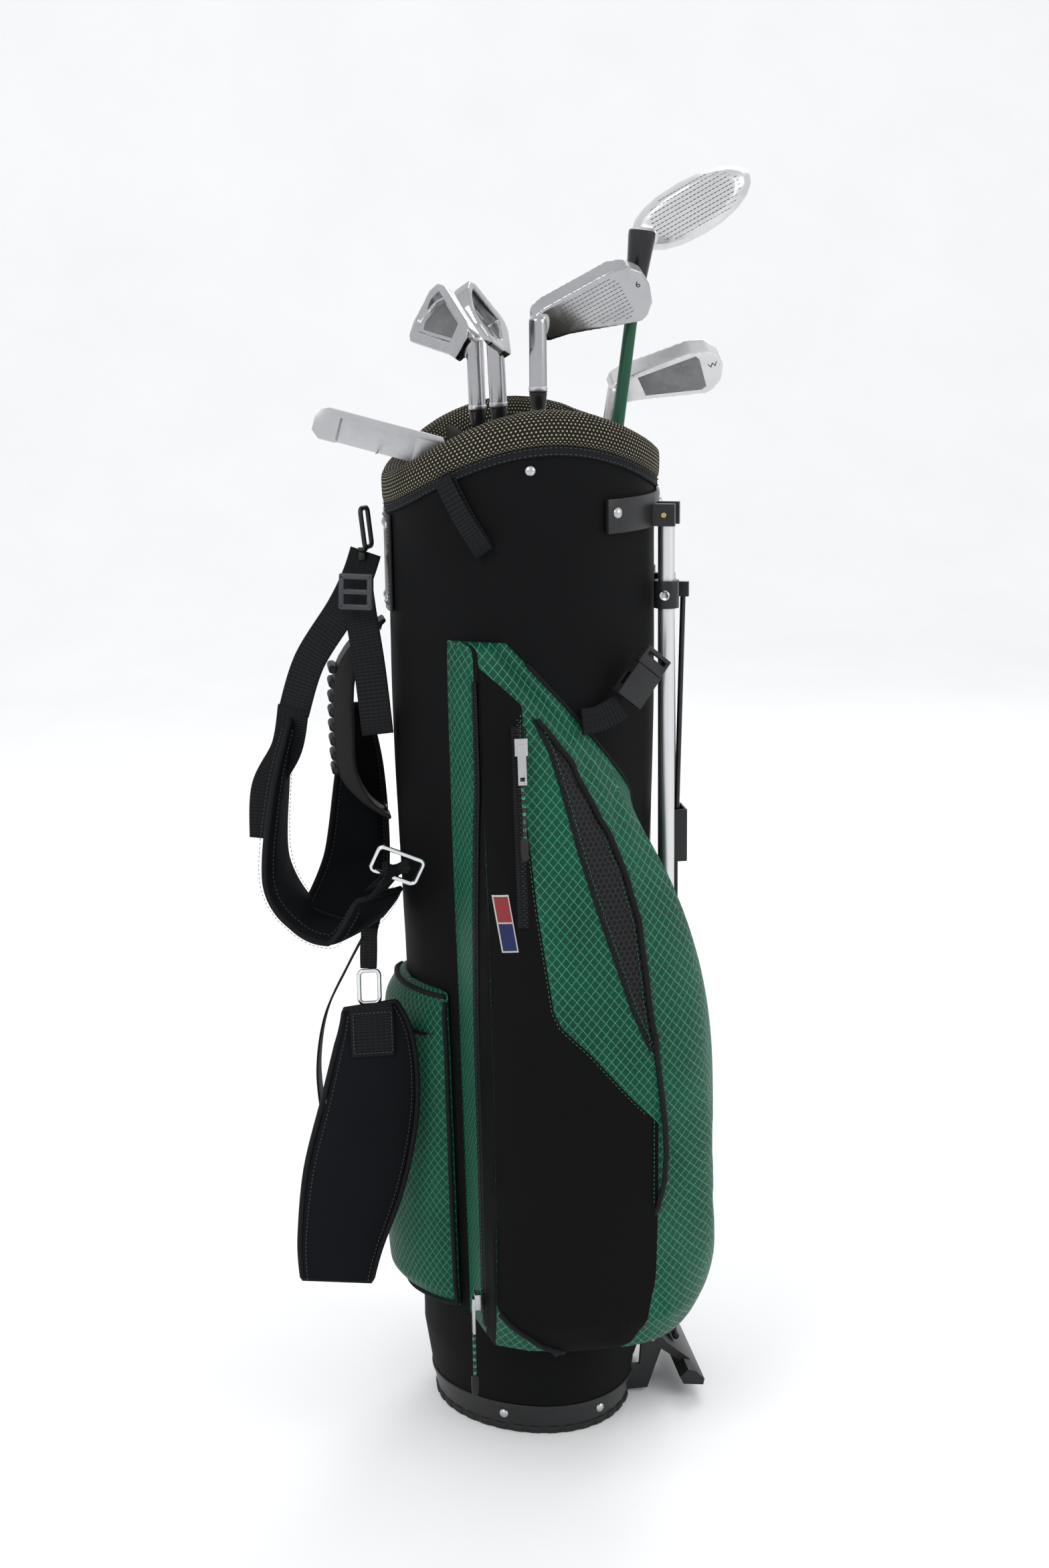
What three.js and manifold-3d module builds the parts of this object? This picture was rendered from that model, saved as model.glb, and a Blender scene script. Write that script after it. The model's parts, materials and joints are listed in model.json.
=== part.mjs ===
// Junior golf club set: a stand bag with its shoulder strap, a folding two-leg stand worked by a
// base pedal, and six clubs standing in the bag.
// Millimetres, +Z up. The origin is the centre of the bag's underside, +X points to the stand,
// -X to the carrying side and -Y to the big pocket.
import * as THREE from "three";
import { mergeVertices } from "three/addons/utils/BufferGeometryUtils.js";
import Module from "manifold-3d";

const wasm = await Module();
wasm.setup();

// Driving dimensions: bag
const gap = 0.3; // between pieces that touch
const tubeRadius = 98; // the tube is round near the mouth
const tubeWall = 3;
const baseReach = 86; // base section, centre to carrying side
const baseHalfWidth = 93;
const baseEgg = 0.12; // how much wider the base is towards the stand
const baseFlat = 79; // flat of the base on the stand side
const footShare = 0.88; // the underside against the full base section
const taperTop = 65;
const roundFrom = 600; // height at which the section has become round
const rimStand = 722; // lower edge of the rim band, at the stand
const rimCarryDrop = 13; // and how much lower it is at the carrying side
const rimCrest = 38.5; // rise of the rim at the two sides
const bandTall = 12.5;
const bandThick = 2;
const cuffTall = 23.5;
const cuffProud = 3; // cuff outside the tube
const cuffDeep = 22; // cuff inside the tube
const cuffSkirt = 12; // cuff below the rim, inside
const cupHeight = 25; // visible part of the base cup
const cupInside = 70; // its wall inside the tube
const cupWall = 3;
const cupFloor = 5;
const bagSegments = 48;

// Driving dimensions: pockets, as heights on the bag, angles around it and depths off it
const pocket = { low: 97, high: 620, left: -131, right: -46, depth: 72, reach: 124, start: -46 };
const ballPocket = { low: 98, high: 357, from: -196, to: -135, depth: 30 };

// Driving dimensions: stand
const legApart = 86;
const legRadius = 6.1;
const legWall = 1;
const legClear = 5.7; // leg to tube
const legSplay = 23; // degrees each leg swings away from +X
const pivotBelowRim = 22;
const legLength = 640; // pivot to the end of the foot
const footLong = 26;
const clampBelowPivot = 58;
const clampTall = 20;
const rodRadius = 2;
const rodReach = 184; // rod pin to clip
const rodTopApart = 40;
const rodLowApart = 10;
const rodOut = 17.5; // rod pins beyond the legs
const pinRadius = 2;
const pinClear = 0.15;
const headTall = 24;
const headHalfAngle = 61;
const pedalPinHeight = 46;
const pedalPinX = 92;
const pedalHalf = 26; // half width between the base lugs
const lugThick = 4;
const padHalf = 46; // half width of the foot pad
const padReach = 38; // pedal pin to the tip of the pad

// Driving dimensions: clubs, shared
const tipRadius = 4.6;
const buttRadius = 6.9;
const gripButt = 11.2;
const gripMouth = 8.6;
const gripLong = 230;
const gripCap = 3;
const ferruleLong = 12.5;
const socketDeep = 26; // shaft inside the head
const hoselRadius = 6.5;
const faceThick = 3.2; // the iron's face in front of its cavity
const faceBulge = 0.0036; // how fast the wood's face falls back to heel and toe, per mm squared
const lieWood = 54;

const degrees = THREE.MathUtils.degToRad;
const mix = THREE.MathUtils.lerp;
const vec = (x, y, z) => new THREE.Vector3(x, y, z);
const up = vec(0, 0, 1);

// ---- Making solids ----

// A geometry's corner positions moved by a rule.
function moved(geometry, rule) {
  const position = geometry.getAttribute("position");
  for (let i = 0; i < position.count; i++) {
    position.setXYZ(i, ...rule(vec(0, 0, 0).fromBufferAttribute(position, i)).toArray());
  }
  return geometry;
}

// A closed geometry as a manifold solid facing out.
function solid(geometry) {
  const bare = new THREE.BufferGeometry();
  const loose = geometry.index ? geometry.toNonIndexed() : geometry;
  bare.setAttribute("position", loose.getAttribute("position"));
  const merged = mergeVertices(bare, 1e-3);
  const corners = merged.index.array;
  const faces = [];
  for (let i = 0; i < corners.length; i += 3) {
    const [a, b, c] = corners.slice(i, i + 3);
    if (a !== b && b !== c && c !== a) faces.push([a, b, c]);
  }
  const build = (list) =>
    new wasm.Manifold(
      new wasm.Mesh({
        numProp: 3,
        vertProperties: merged.attributes.position.array,
        triVerts: new Uint32Array(list.flat()),
      }),
    );
  const made = build(faces);
  return made.volume() < 0 ? build(faces.map(([a, b, c]) => [a, c, b])) : made;
}

function joined(first, ...others) {
  return others.reduce((sum, next) => sum.add(next), first);
}

function box(from, to) {
  const size = to.map((value, axis) => value - from[axis]);
  const made = new THREE.BoxGeometry(...size);
  return solid(made.translate(...from.map((value, axis) => value + size[axis] / 2)));
}

// A turned solid from [radius, height] points, standing along +Z.
function turned(profile, segments = 12) {
  const points = profile.map(([radius, height]) => new THREE.Vector2(radius, height));
  return new THREE.LatheGeometry(points, segments).rotateX(Math.PI / 2);
}

// A round rod between two points.
function rod(from, to, radius, segments = 10) {
  const along = to.clone().sub(from);
  const turn = new THREE.Quaternion().setFromUnitVectors(up, along.clone().normalize());
  const made = turned([[0, 0], [radius, 0], [radius, along.length()], [0, along.length()]], segments);
  return solid(made.applyQuaternion(turn).translate(...from.toArray()));
}

// An outline extruded by depth along its own +Z, then placed by a matrix.
function plate(outline, depth, matrix = new THREE.Matrix4(), holes = []) {
  const shape = new THREE.Shape(outline.map(([x, y]) => new THREE.Vector2(x, y)));
  holes.forEach((hole) => shape.holes.push(new THREE.Path(hole.map(([x, y]) => new THREE.Vector2(x, y)))));
  const block = new THREE.ExtrudeGeometry(shape, { depth, bevelEnabled: false, curveSegments: 8 });
  return block.applyMatrix4(matrix);
}

// A rectangle with round corners, as outline points.
function roundedOutline(width, height, radius, steps = 3) {
  const outline = [];
  const corners = [[1, -1, -90], [1, 1, 0], [-1, 1, 90], [-1, -1, 180]];
  for (const [sx, sy, start] of corners) {
    for (let i = 0; i <= steps; i++) {
      const angle = degrees(start + (90 * i) / steps);
      outline.push([
        sx * (width / 2 - radius) + radius * Math.cos(angle),
        sy * (height / 2 - radius) + radius * Math.sin(angle),
      ]);
    }
  }
  return outline;
}

// A strap or pad: a slab along a smooth line, whose width lies along each station's side direction.
function ribbon(stations, steps = 16) {
  const line = new THREE.CatmullRomCurve3(stations.map((s) => vec(...s.at)));
  const sides = new THREE.CatmullRomCurve3(stations.map((s) => vec(...s.side)));
  const sizes = new THREE.CatmullRomCurve3(stations.map((s) => vec(s.width, s.thick, 0)));
  return solid(
    moved(new THREE.BoxGeometry(1, 1, 1, 2, 1, steps), (p) => {
      const t = Math.min(1, Math.max(0, p.z + 0.5));
      const ahead = line.getTangent(t).normalize();
      const side = sides.getPoint(t);
      side.addScaledVector(ahead, -side.dot(ahead)).normalize();
      const { x: width, y: thick } = sizes.getPoint(t);
      const out = side.clone().cross(ahead);
      const centre = line.getPoint(t);
      return centre.addScaledVector(side, p.x * width).addScaledVector(out, p.y * thick);
    }),
  );
}

// ---- The bag's section ----

// A point on the tube's outside at an angle from +X, at a height, moved outwards by offset.
function bagPoint(angle, z, offset) {
  const c = Math.cos(angle);
  const s = Math.sin(angle);
  const grow = mix(footShare, 1, Math.min(1, Math.max(0, z / taperTop)));
  const baseX = Math.min(baseReach * grow * c + offset * c, baseFlat * grow + offset);
  const baseY = (baseHalfWidth * grow + offset) * s * (1 + baseEgg * c);
  const round = THREE.MathUtils.smoothstep(z, taperTop, roundFrom);
  return vec(mix(baseX, (tubeRadius + offset) * c, round), mix(baseY, (tubeRadius + offset) * s, round), z);
}

const rim = (angle) =>
  rimStand - (rimCarryDrop * (1 - Math.cos(angle))) / 2 + rimCrest * Math.sin(angle) ** 2;

// A closed ring round the bag: a profile of [offset, height] points, where null is the bag's axis.
function bagRing(profile, height) {
  const far = 1000;
  const points = profile.map(([offset, h]) => new THREE.Vector2(offset === null ? 0 : far + offset, h));
  const lathe = new THREE.LatheGeometry(points, bagSegments);
  return solid(
    moved(lathe, (p) => {
      const radius = Math.hypot(p.x, p.z);
      const angle = Math.atan2(p.x, p.z);
      const z = height(p.y, angle);
      return radius < 1 ? vec(0, 0, z) : bagPoint(angle, z, radius - far);
    }),
  );
}

// A patch that lies round the bag between two angles (degrees) and two heights.
function wrapped({ from, to, low, high, inner, outer, across, rows = 1, shape }) {
  const at = (value, angle) => (typeof value === "function" ? value(angle) : value);
  return solid(
    moved(new THREE.BoxGeometry(1, 1, 1, across, rows, 1), (p) => {
      const angle = degrees(mix(from, to, p.x + 0.5));
      const z = mix(at(low, angle), at(high, angle), p.y + 0.5);
      const thick = shape ? shape(p.x + 0.5, p.y + 0.5) : 1;
      return bagPoint(angle, z, mix(inner, inner + (outer - inner) * thick, p.z + 0.5));
    }),
  );
}

// ---- Finishes ----

const finish = (color, roughness, metalness = 0) =>
  new THREE.MeshStandardMaterial({ color, roughness, metalness });
const finishes = {
  blackFabric: finish(0x15171a, 0.9),
  greenFabric: finish(0x0e5a3a, 0.75),
  mesh: finish(0x2a2921, 0.85),
  webbing: finish(0x101113, 0.85),
  pad: finish(0x23272b, 0.9),
  blackPlastic: finish(0x17181a, 0.5),
  greyPlastic: finish(0x4a4f54, 0.5),
  vinyl: finish(0x1b1c1e, 0.45),
  chrome: finish(0xd4d6d8, 0.15, 1),
  steel: finish(0xa9adb0, 0.3, 1),
  satinHead: finish(0x9a9da0, 0.4, 1),
  blackHead: finish(0x1b1c1f, 0.35, 0.6),
  greenShaft: finish(0x1f8f5c, 0.3),
  greyShaft: finish(0x3a3d40, 0.35),
  rubber: finish(0x161616, 0.9),
  legAlloy: finish(0xa2a4a8, 0.35, 0.9),
  brass: finish(0xa8843f, 0.35, 1),
};

const root = new THREE.Group();

function piece(name, made, material, group = root) {
  const { vertProperties, triVerts } = made.getMesh();
  const geometry = new THREE.BufferGeometry();
  geometry.setAttribute("position", new THREE.BufferAttribute(vertProperties, 3));
  geometry.setIndex(new THREE.BufferAttribute(triVerts, 1));
  geometry.computeVertexNormals();
  const mesh = new THREE.Mesh(geometry, material);
  mesh.name = name;
  group.add(mesh);
  return mesh;
}

// ---- Bag body ----

const levels = [0, 0.06, 0.2, 0.4, 0.6, 0.8, 1]; // of the tube's rings, as shares of its height
const tubeHeight = (h, angle) => mix(cupHeight + gap, rim(angle) + bandTall - 1, h);

function bagTube() {
  const outside = levels.map((h) => [0, h]);
  const inside = levels.map((h) => [-tubeWall, h]).reverse();
  return bagRing([...outside, ...inside, outside[0]], tubeHeight);
}

// What has to stay free of pieces that lie on the tube: the tube's outside and a little more.
function offTube(made, clear = 0.5) {
  return made.subtract(bagRing([[null, 0], ...levels.map((h) => [clear, h]), [null, 1]], tubeHeight));
}

// The cup closes the tube's end, stands on the floor and carries the pedal's lugs.
function baseCup() {
  const seat = -tubeWall - gap;
  const cup = bagRing(
    [
      [null, 0],
      [-2, 0],
      [0, 2],
      [0, cupHeight],
      [seat, cupHeight],
      [seat, cupInside],
      [seat - cupWall, cupInside],
      [seat - cupWall, cupFloor],
      [null, cupFloor],
    ],
    (h) => h,
  );
  const upright = new THREE.Matrix4().makeRotationX(Math.PI / 2);
  const lugBack = baseFlat + 2.5;
  const lug = [
    [baseFlat * footShare - 4, 3],
    [pedalPinX - 4, 3],
    [pedalPinX + 8, pedalPinHeight - 8],
    [pedalPinX + 8, pedalPinHeight + 5],
    [pedalPinX + 3, pedalPinHeight + 9],
    [lugBack + 2, pedalPinHeight + 7],
    [lugBack, cupHeight - 1],
    [baseFlat * footShare - 4, cupHeight - 1],
  ];
  const lugs = [-1, 1].map((side) => {
    const inner = side > 0 ? pedalHalf + 2 * gap + lugThick : -pedalHalf - 2 * gap;
    return solid(plate(lug, lugThick, new THREE.Matrix4().makeTranslation(0, inner, 0).multiply(upright)));
  });
  const reach = pedalHalf + lugThick + 5;
  const hole = rod(
    vec(pedalPinX, -reach, pedalPinHeight),
    vec(pedalPinX, reach, pedalPinHeight),
    pinRadius + 0.5 + pinClear,
  );
  return joined(cup, ...lugs).subtract(hole);
}

function topCuff() {
  const outer = cuffProud;
  const inner = -cuffDeep;
  return bagRing(
    [
      [outer - 0.5, bandTall + gap],
      [outer, bandTall + 4],
      [outer - 3, cuffTall - 3],
      [outer - 9, cuffTall],
      [inner + 8, cuffTall - 0.5],
      [inner + 2, cuffTall - 6],
      [inner, bandTall],
      [inner + 5, -cuffSkirt],
      [-tubeWall - gap, -cuffSkirt],
      [-tubeWall - gap, bandTall + gap],
      [outer - 0.5, bandTall + gap],
    ],
    (h, angle) => rim(angle) + h,
  );
}

function rimBand() {
  return bagRing(
    [[gap, 0], [gap + bandThick, 0.5], [gap + bandThick, bandTall - 0.5], [gap, bandTall], [gap, 0]],
    (h, angle) => rim(angle) + h,
  );
}

// A padded bar across the mouth, between the putter's lane and the others.
const dividerX = -45.4;
function clubDivider() {
  const half = Math.sqrt((tubeRadius - cuffDeep) ** 2 - (Math.abs(dividerX) + 4) ** 2) - 1;
  const outline = roundedOutline(6, 30, 2.8);
  const lie = new THREE.Matrix4().makeRotationX(Math.PI / 2).setPosition(dividerX, half, rimStand + 24);
  return solid(plate(outline, 2 * half, lie));
}

// ---- Pockets ----

// How far the big pocket stands off the tube at a height: shallow at the top, full below.
function pocketDepth(z) {
  const profile = [
    [pocket.low, 0.78],
    [pocket.low + 33, 1],
    [mix(pocket.low, pocket.high, 0.445), 1],
    [mix(pocket.low, pocket.high, 0.885), 0.42],
    [pocket.high, 0.14],
  ];
  const next = Math.max(1, profile.findIndex(([height]) => z <= height));
  const [a, b] = [profile[next - 1], profile[next]];
  return pocket.depth * mix(a[1], b[1], Math.min(1, Math.max(0, (z - a[0]) / (b[0] - a[0]))));
}

// Right edge of the pocket's front, as an arch that swells low down.
function pocketRight(z) {
  const share = (z - pocket.low) / (pocket.high - pocket.low);
  const arch = Math.cos(Math.PI * 0.5 * Math.max(0, (share - 0.3) / 0.7) ** 1.35);
  const foot = 1 - 0.16 * Math.max(0, 1 - share / 0.14) ** 2;
  return mix(pocket.start + 10, pocket.reach, arch * foot);
}

// The pocket's front at a share of its width: nearly square on the left, swept back on the right.
function pocketFront(share, z) {
  const x = mix(pocket.start, pocketRight(z), share);
  const side = Math.abs(2 * share - 1) ** 3;
  const round = 1 - side * (share > 0.5 ? 0.77 : 0.34);
  return vec(x, -0.985 * tubeRadius - pocketDepth(z) * round, z);
}

// Where its right wall meets the tube, in degrees: it follows the arch up to the top.
function pocketRightAngle(z) {
  const x = Math.min(tubeRadius, pocketRight(z) + 10);
  return Math.min(pocket.right, -THREE.MathUtils.radToDeg(Math.acos(x / tubeRadius)));
}

function bigPocket() {
  const filled = moved(new THREE.BoxGeometry(1, 1, 1, 10, 12, 2), (p) => {
    const share = p.x + 0.5;
    const z = mix(pocket.low, pocket.high, p.y + 0.5);
    const back = bagPoint(degrees(mix(pocket.left, pocketRightAngle(z), share)), z, -8);
    return back.lerp(pocketFront(share, z), p.z + 0.5);
  });
  return offTube(solid(filled));
}

function sidePocket() {
  return wrapped({
    ...ballPocket,
    inner: 0.6,
    outer: ballPocket.depth,
    across: 10,
    rows: 8,
    shape: (u, v) => {
      const round = Math.sin(Math.PI * mix(0.06, 0.8, 1 - u) ** 1.2);
      return 0.1 + 0.9 * round * Math.sin(Math.PI * mix(0.24, 0.93, v)) ** 0.6;
    },
  });
}

// ---- Zips: each slider runs on a straight track in front of the pocket ----

const cordRadius = 1.25;
const tabLong = 26;

// A slider with its tab, in a frame whose -Z runs down the track and whose -Y faces out.
function zipSlider() {
  const body = box([-4.5, -4.5, -6], [4.5, 0, 6]);
  const tab = box([-3, -6.3, -tabLong], [3, -4.4, 2]);
  const eye = box([-1.6, -8, 2.6 - tabLong], [1.6, -3, 5.4 - tabLong]);
  return joined(body, tab).subtract(eye);
}

// The pull cord, tied under the tab and hanging along the track.
function zipCord(long) {
  const start = -tabLong - gap;
  const points = [0, 0.5, 1].map((share) => vec(0.6 * Math.sin(share * Math.PI), -5.3, start - share * long));
  const section = new THREE.Shape();
  section.absarc(0, 0, cordRadius, 0, 2 * Math.PI);
  const extrudePath = new THREE.CatmullRomCurve3(points);
  const settings = { steps: 8, extrudePath, bevelEnabled: false, curveSegments: 4 };
  return solid(new THREE.ExtrudeGeometry(section, settings));
}

const mainZip = { at: vec(pocket.start - 8, -112, pocket.low + 34), turn: -90, cord: 50 };
const frontZipX = -21;
const frontZipTop = 552;
const frontZipLow = 420;
const frontZipLift = 3;

function frontAt(z) {
  const share = (frontZipX - pocket.start) / (pocketRight(z) - pocket.start);
  return pocketFront(share, z);
}

function addZips() {
  const main = new THREE.Group();
  main.position.copy(mainZip.at);
  main.rotation.z = degrees(mainZip.turn);
  const front = new THREE.Group();
  const [high, low] = [frontAt(frontZipTop), frontAt(frontZipLow)];
  front.position.copy(high).add(vec(0, -frontZipLift, 0));
  front.rotation.x = Math.atan2(low.y - high.y, high.z - low.z);
  root.add(main, front);
  for (const [group, name, cord] of [[main, "main_zip", mainZip.cord], [front, "front_zip", 52]]) {
    piece(name + "_slider", zipSlider(), finishes.steel, group);
    piece(name + "_cord", zipCord(cord), finishes.webbing, group);
  }
}

// ---- Stand ----

const legX = Math.sqrt(tubeRadius ** 2 - (legApart / 2) ** 2) + legRadius + legClear;
const pivotZ = rimStand - pivotBelowRim;
const clampZ = pivotZ - clampBelowPivot;
const rodX = legX + rodOut;
const clipZ = clampZ - rodReach;

// The frame of one leg: origin at the pivot, +X the way it swings, +Y along its pivot pin.
function legFrame(side) {
  const group = new THREE.Group();
  group.position.set(legX, (side * legApart) / 2, pivotZ);
  group.rotation.z = degrees(side * legSplay);
  root.add(group);
  group.updateMatrixWorld(true);
  return group;
}

const earThick = 4;
const slotHalf = legRadius + 0.5;
const legTop = 3.4; // leg above its pivot

function standHead(frames) {
  const top = (angle) => Math.min(pivotZ + headTall * 0.66, rim(angle) - 1);
  let head = wrapped({
    from: -headHalfAngle,
    to: headHalfAngle,
    low: pivotZ - headTall * 0.34,
    high: top,
    inner: 0.5,
    outer: 3.6,
    across: 18,
  });
  const radial = Math.hypot(legX, legApart / 2) - tubeRadius;
  for (const frame of frames) {
    const place = (made) => made.transform(frame.matrixWorld.elements);
    const ears = box([1.4 - radial, -slotHalf - earThick, -8], [8, slotHalf + earThick, 8]);
    const slot = box([3.4 - radial, -slotHalf, -20], [20, slotHalf, 20]);
    const hole = rod(vec(0, -30, 0), vec(0, 30, 0), pinRadius + pinClear);
    head = head.add(place(ears.subtract(slot))).subtract(place(hole));
  }
  return head;
}

function leg() {
  const inner = legRadius - legWall;
  const low = -legLength + 3;
  const wall = [[inner, low], [legRadius, low], [legRadius, legTop], [inner, legTop], [inner, low]];
  const tube = solid(turned(wall));
  return tube.subtract(rod(vec(0, -20, 0), vec(0, 20, 0), pinRadius + pinClear));
}

function legFoot() {
  const bore = legRadius + gap;
  return solid(
    turned([
      [0, -legLength],
      [bore + 1.2, -legLength],
      [bore + 2.6, -legLength + 4],
      [bore + 1.8, -legLength + footLong],
      [bore, -legLength + footLong],
      [bore, -legLength + 2.7],
      [0, -legLength + 2.7],
    ]),
  );
}

function pivotPin() {
  const half = slotHalf + earThick + 0.6;
  const profile = [
    [0, -half], [pinRadius, -half], [pinRadius, half], [4, half], [3.2, half + 2], [0, half + 2],
  ];
  const screw = turned(profile);
  return solid(screw.rotateX(-Math.PI / 2));
}

// The rod's upper pin in its leg's frame.
function rodPin(frame, side) {
  return frame.worldToLocal(vec(rodX, (side * rodTopApart) / 2, clampZ));
}

const lugHalf = 5;
function legClamp(frame, side) {
  const pin = rodPin(frame, side);
  const bore = legRadius + gap;
  const low = -clampBelowPivot - clampTall / 2;
  const ring = solid(
    turned([
      [bore, low],
      [bore + 3, low],
      [bore + 3, low + clampTall],
      [bore, low + clampTall],
      [bore, low],
    ]),
  );
  const inwards = Math.sign(pin.y);
  const armFrom = Math.min(inwards * (bore + 1), inwards * (Math.abs(pin.y) - 4));
  const armTo = Math.max(inwards * (bore + 1), inwards * (Math.abs(pin.y) - 4));
  const arm = box([-2, armFrom, low + 5], [3, armTo, low + clampTall - 4]);
  const eyeEnd = inwards * (Math.abs(pin.y) - rodRadius - 0.6);
  const eye = box(
    [-2, Math.min(eyeEnd, eyeEnd - inwards * 4), low + 5],
    [pin.x + lugHalf, Math.max(eyeEnd, eyeEnd - inwards * 4), low + clampTall - 4],
  );
  const stubStart = vec(pin.x, eyeEnd - inwards * 2, pin.z);
  const stub = rod(stubStart, vec(pin.x, eyeEnd + inwards * 0.3, pin.z), 1.6, 8);
  return joined(ring, arm, eye, stub);
}

// Thin rod from its pin beside the clamp down to the open clip.
const rodLean = 1.5; // the rods' low ends, nearer the bag than their pins
function linkRod(side) {
  const top = vec(rodX, (side * rodTopApart) / 2, clampZ);
  const low = vec(rodX - rodLean, (side * rodLowApart) / 2, clipZ);
  const reach = top.clone().sub(low).normalize();
  return rod(low, top.clone().addScaledVector(reach, 2), rodRadius, 8);
}

const clipSlack = 2.8; // sideways play of the rods in the clip
const clipDrop = 5; // and below them
const pushX = rodX - rodLean;
const footZ = pedalPinHeight - 12; // the push rod's foot rests just over the pedal's arm

// The push rod: a clip that catches both rods, a long flat bar and a foot that the pedal lifts.
function pushRod() {
  const wide = rodLowApart / 2 + rodRadius + clipSlack + 1.6;
  const deep = rodRadius + clipSlack + 1.4;
  const clip = box([pushX - deep - 1, -wide, clipZ - clipDrop - 22], [pushX + deep + 1, wide, clipZ + 14]);
  const inner = [wide - 1.6, deep - 0.4];
  const well = box(
    [pushX - inner[1], -inner[0], clipZ - clipDrop],
    [pushX + inner[1], inner[0], clipZ + 20],
  );
  const bar = box([pushX - 1.6, -4, footZ], [pushX + 1.6, 4, clipZ - clipDrop - 20]);
  const foot = rod(vec(pushX, -9, footZ), vec(pushX, 9, footZ), 3, 8);
  return joined(clip.subtract(well), bar, foot);
}

// The pedal: a lever between the base lugs with a wide pad that the floor pushes up.
function pedal() {
  const upright = new THREE.Matrix4().makeRotationX(Math.PI / 2);
  const across = (outline, half) =>
    solid(plate(outline, 2 * half, new THREE.Matrix4().makeTranslation(0, half, 0).multiply(upright)));
  const [px, pz] = [pedalPinX, pedalPinHeight];
  const tip = px + padReach;
  const arm = across(
    [
      [px - 5, pz - 4],
      [px + 2, pz - 8],
      [tip - 10, pz - 28],
      [tip - 6, pz - 24],
      [px + 12, pz - 7],
      [px + 4, pz + 5],
      [px - 3, pz + 5],
    ],
    pedalHalf,
  );
  const pad = across(
    [
      [tip - 19, pz - 28],
      [tip - 16, pz - 34],
      [tip, pz - 36],
      [tip + 1, pz - 31],
      [tip - 6, pz - 24],
      [tip - 12, pz - 22],
    ],
    padHalf,
  );
  const hole = rod(vec(px, -60, pz), vec(px, 60, pz), pinRadius + 0.5 + pinClear);
  return joined(arm, pad).subtract(hole);
}

function pedalPin() {
  const half = pedalHalf + 2 * gap + lugThick + 1.5;
  return rod(vec(pedalPinX, -half, pedalPinHeight), vec(pedalPinX, half, pedalPinHeight), pinRadius + 0.5);
}

// ---- Strap side, measured from the tube's wall on the carrying side ----

const carryWall = new THREE.Group();
carryWall.position.x = -tubeRadius;
root.add(carryWall);

const hookPlate = () =>
  wrapped({
    from: 167, to: 191, low: 632, high: (angle) => rim(angle) - 8, inner: 0.5, outer: 2.8,
    across: 4, rows: 2,
  });

// A wire frame: a rounded rectangle of round-ish wire, placed by its centre and two directions.
function wireFrame(centre, across, upwards, width, height, wire) {
  const outer = roundedOutline(width, height, 5);
  const inner = roundedOutline(width - 2 * wire, height - 2 * wire, 2.6);
  const x = vec(...across).normalize();
  const z = x.clone().cross(vec(...upwards)).normalize();
  const y = z.clone().cross(x);
  const place = new THREE.Matrix4().makeBasis(x, y, z).setPosition(...centre);
  return solid(plate(outer, wire, place, [inner.reverse()]));
}

function snapHook() {
  return wireFrame([-17, 6, 691], [0.5, 1, 0], [-0.12, 0, 1], 17, 32, 3.6);
}

function strapWebbing() {
  const side = [1, -0.35, 0];
  const web = (points) => points.map((at) => ({ at, side, width: 24, thick: 1.8 }));
  const main = ribbon(
    web([[-16, 6, 673.5], [-23, 4, 655], [-35, 4, 632], [-60, 5, 594], [-73, 5, 556]]),
  );
  const tail = ribbon(web([[-24, 4, 655], [-22, -3, 632], [-17, -12, 590], [-13, -20, 542]]), 8);
  return main.add(tail);
}

const sliderBuckle = () =>
  wireFrame([-24.5, -15, 647], [1, -0.5, 0], [0.2, 0, 1], 26, 26, 4.2);

function shoulderPadUpper() {
  const front = ribbon(
    [
      { at: [-75, 5, 550], side: [0.2, 1, 0], width: 26, thick: 8 },
      { at: [-86, 4, 500], side: [0.2, 1, 0], width: 62, thick: 11 },
      { at: [-90, 0, 435], side: [0.25, 1, 0], width: 78, thick: 12 },
      { at: [-67, -8, 399], side: [0.3, 1, -0.1], width: 80, thick: 12 },
      { at: [-36, -26, 396], side: [0.45, 1, -0.1], width: 72, thick: 12 },
      { at: [-18, -50, 428], side: [0.8, 1, -0.3], width: 44, thick: 10 },
    ],
    22,
  );
  const back = ribbon(
    [
      { at: [-23, 46, 552], side: [1, 0.1, 0], width: 14, thick: 8 },
      { at: [-23, 46, 500], side: [1, 0.1, 0], width: 34, thick: 9 },
      { at: [-28, 40, 430], side: [1, 0.1, 0], width: 48, thick: 9 },
      { at: [-44, 4, 396], side: [1, 0.3, 0], width: 56, thick: 9 },
    ],
    12,
  );
  return front.add(back);
}

const ringUpper = () => wireFrame([-5, -69, 456], [1, 0, -0.42], [0.3, -0.3, 1], 38, 24, 3.4);

const lowerPadTop = [-28, -66, 349];
function shoulderPadLower() {
  const station = (x, z, width) => ({ at: [x, lowerPadTop[1], z], side: [1, 0, 0], width, thick: 12 });
  return ribbon(
    [
      station(lowerPadTop[0], lowerPadTop[2], 38),
      station(-25, 320, 56),
      station(-30, 272, 70),
      station(-43, 216, 74),
      station(-55, 166, 62),
      station(-59, 134, 52),
    ],
    18,
  );
}

const ringLower = () =>
  wireFrame([lowerPadTop[0], lowerPadTop[1] + 1.6, lowerPadTop[2] + 14.5], [1, 0, 0], [0, 0, 1], 18, 28, 3.2);

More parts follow.
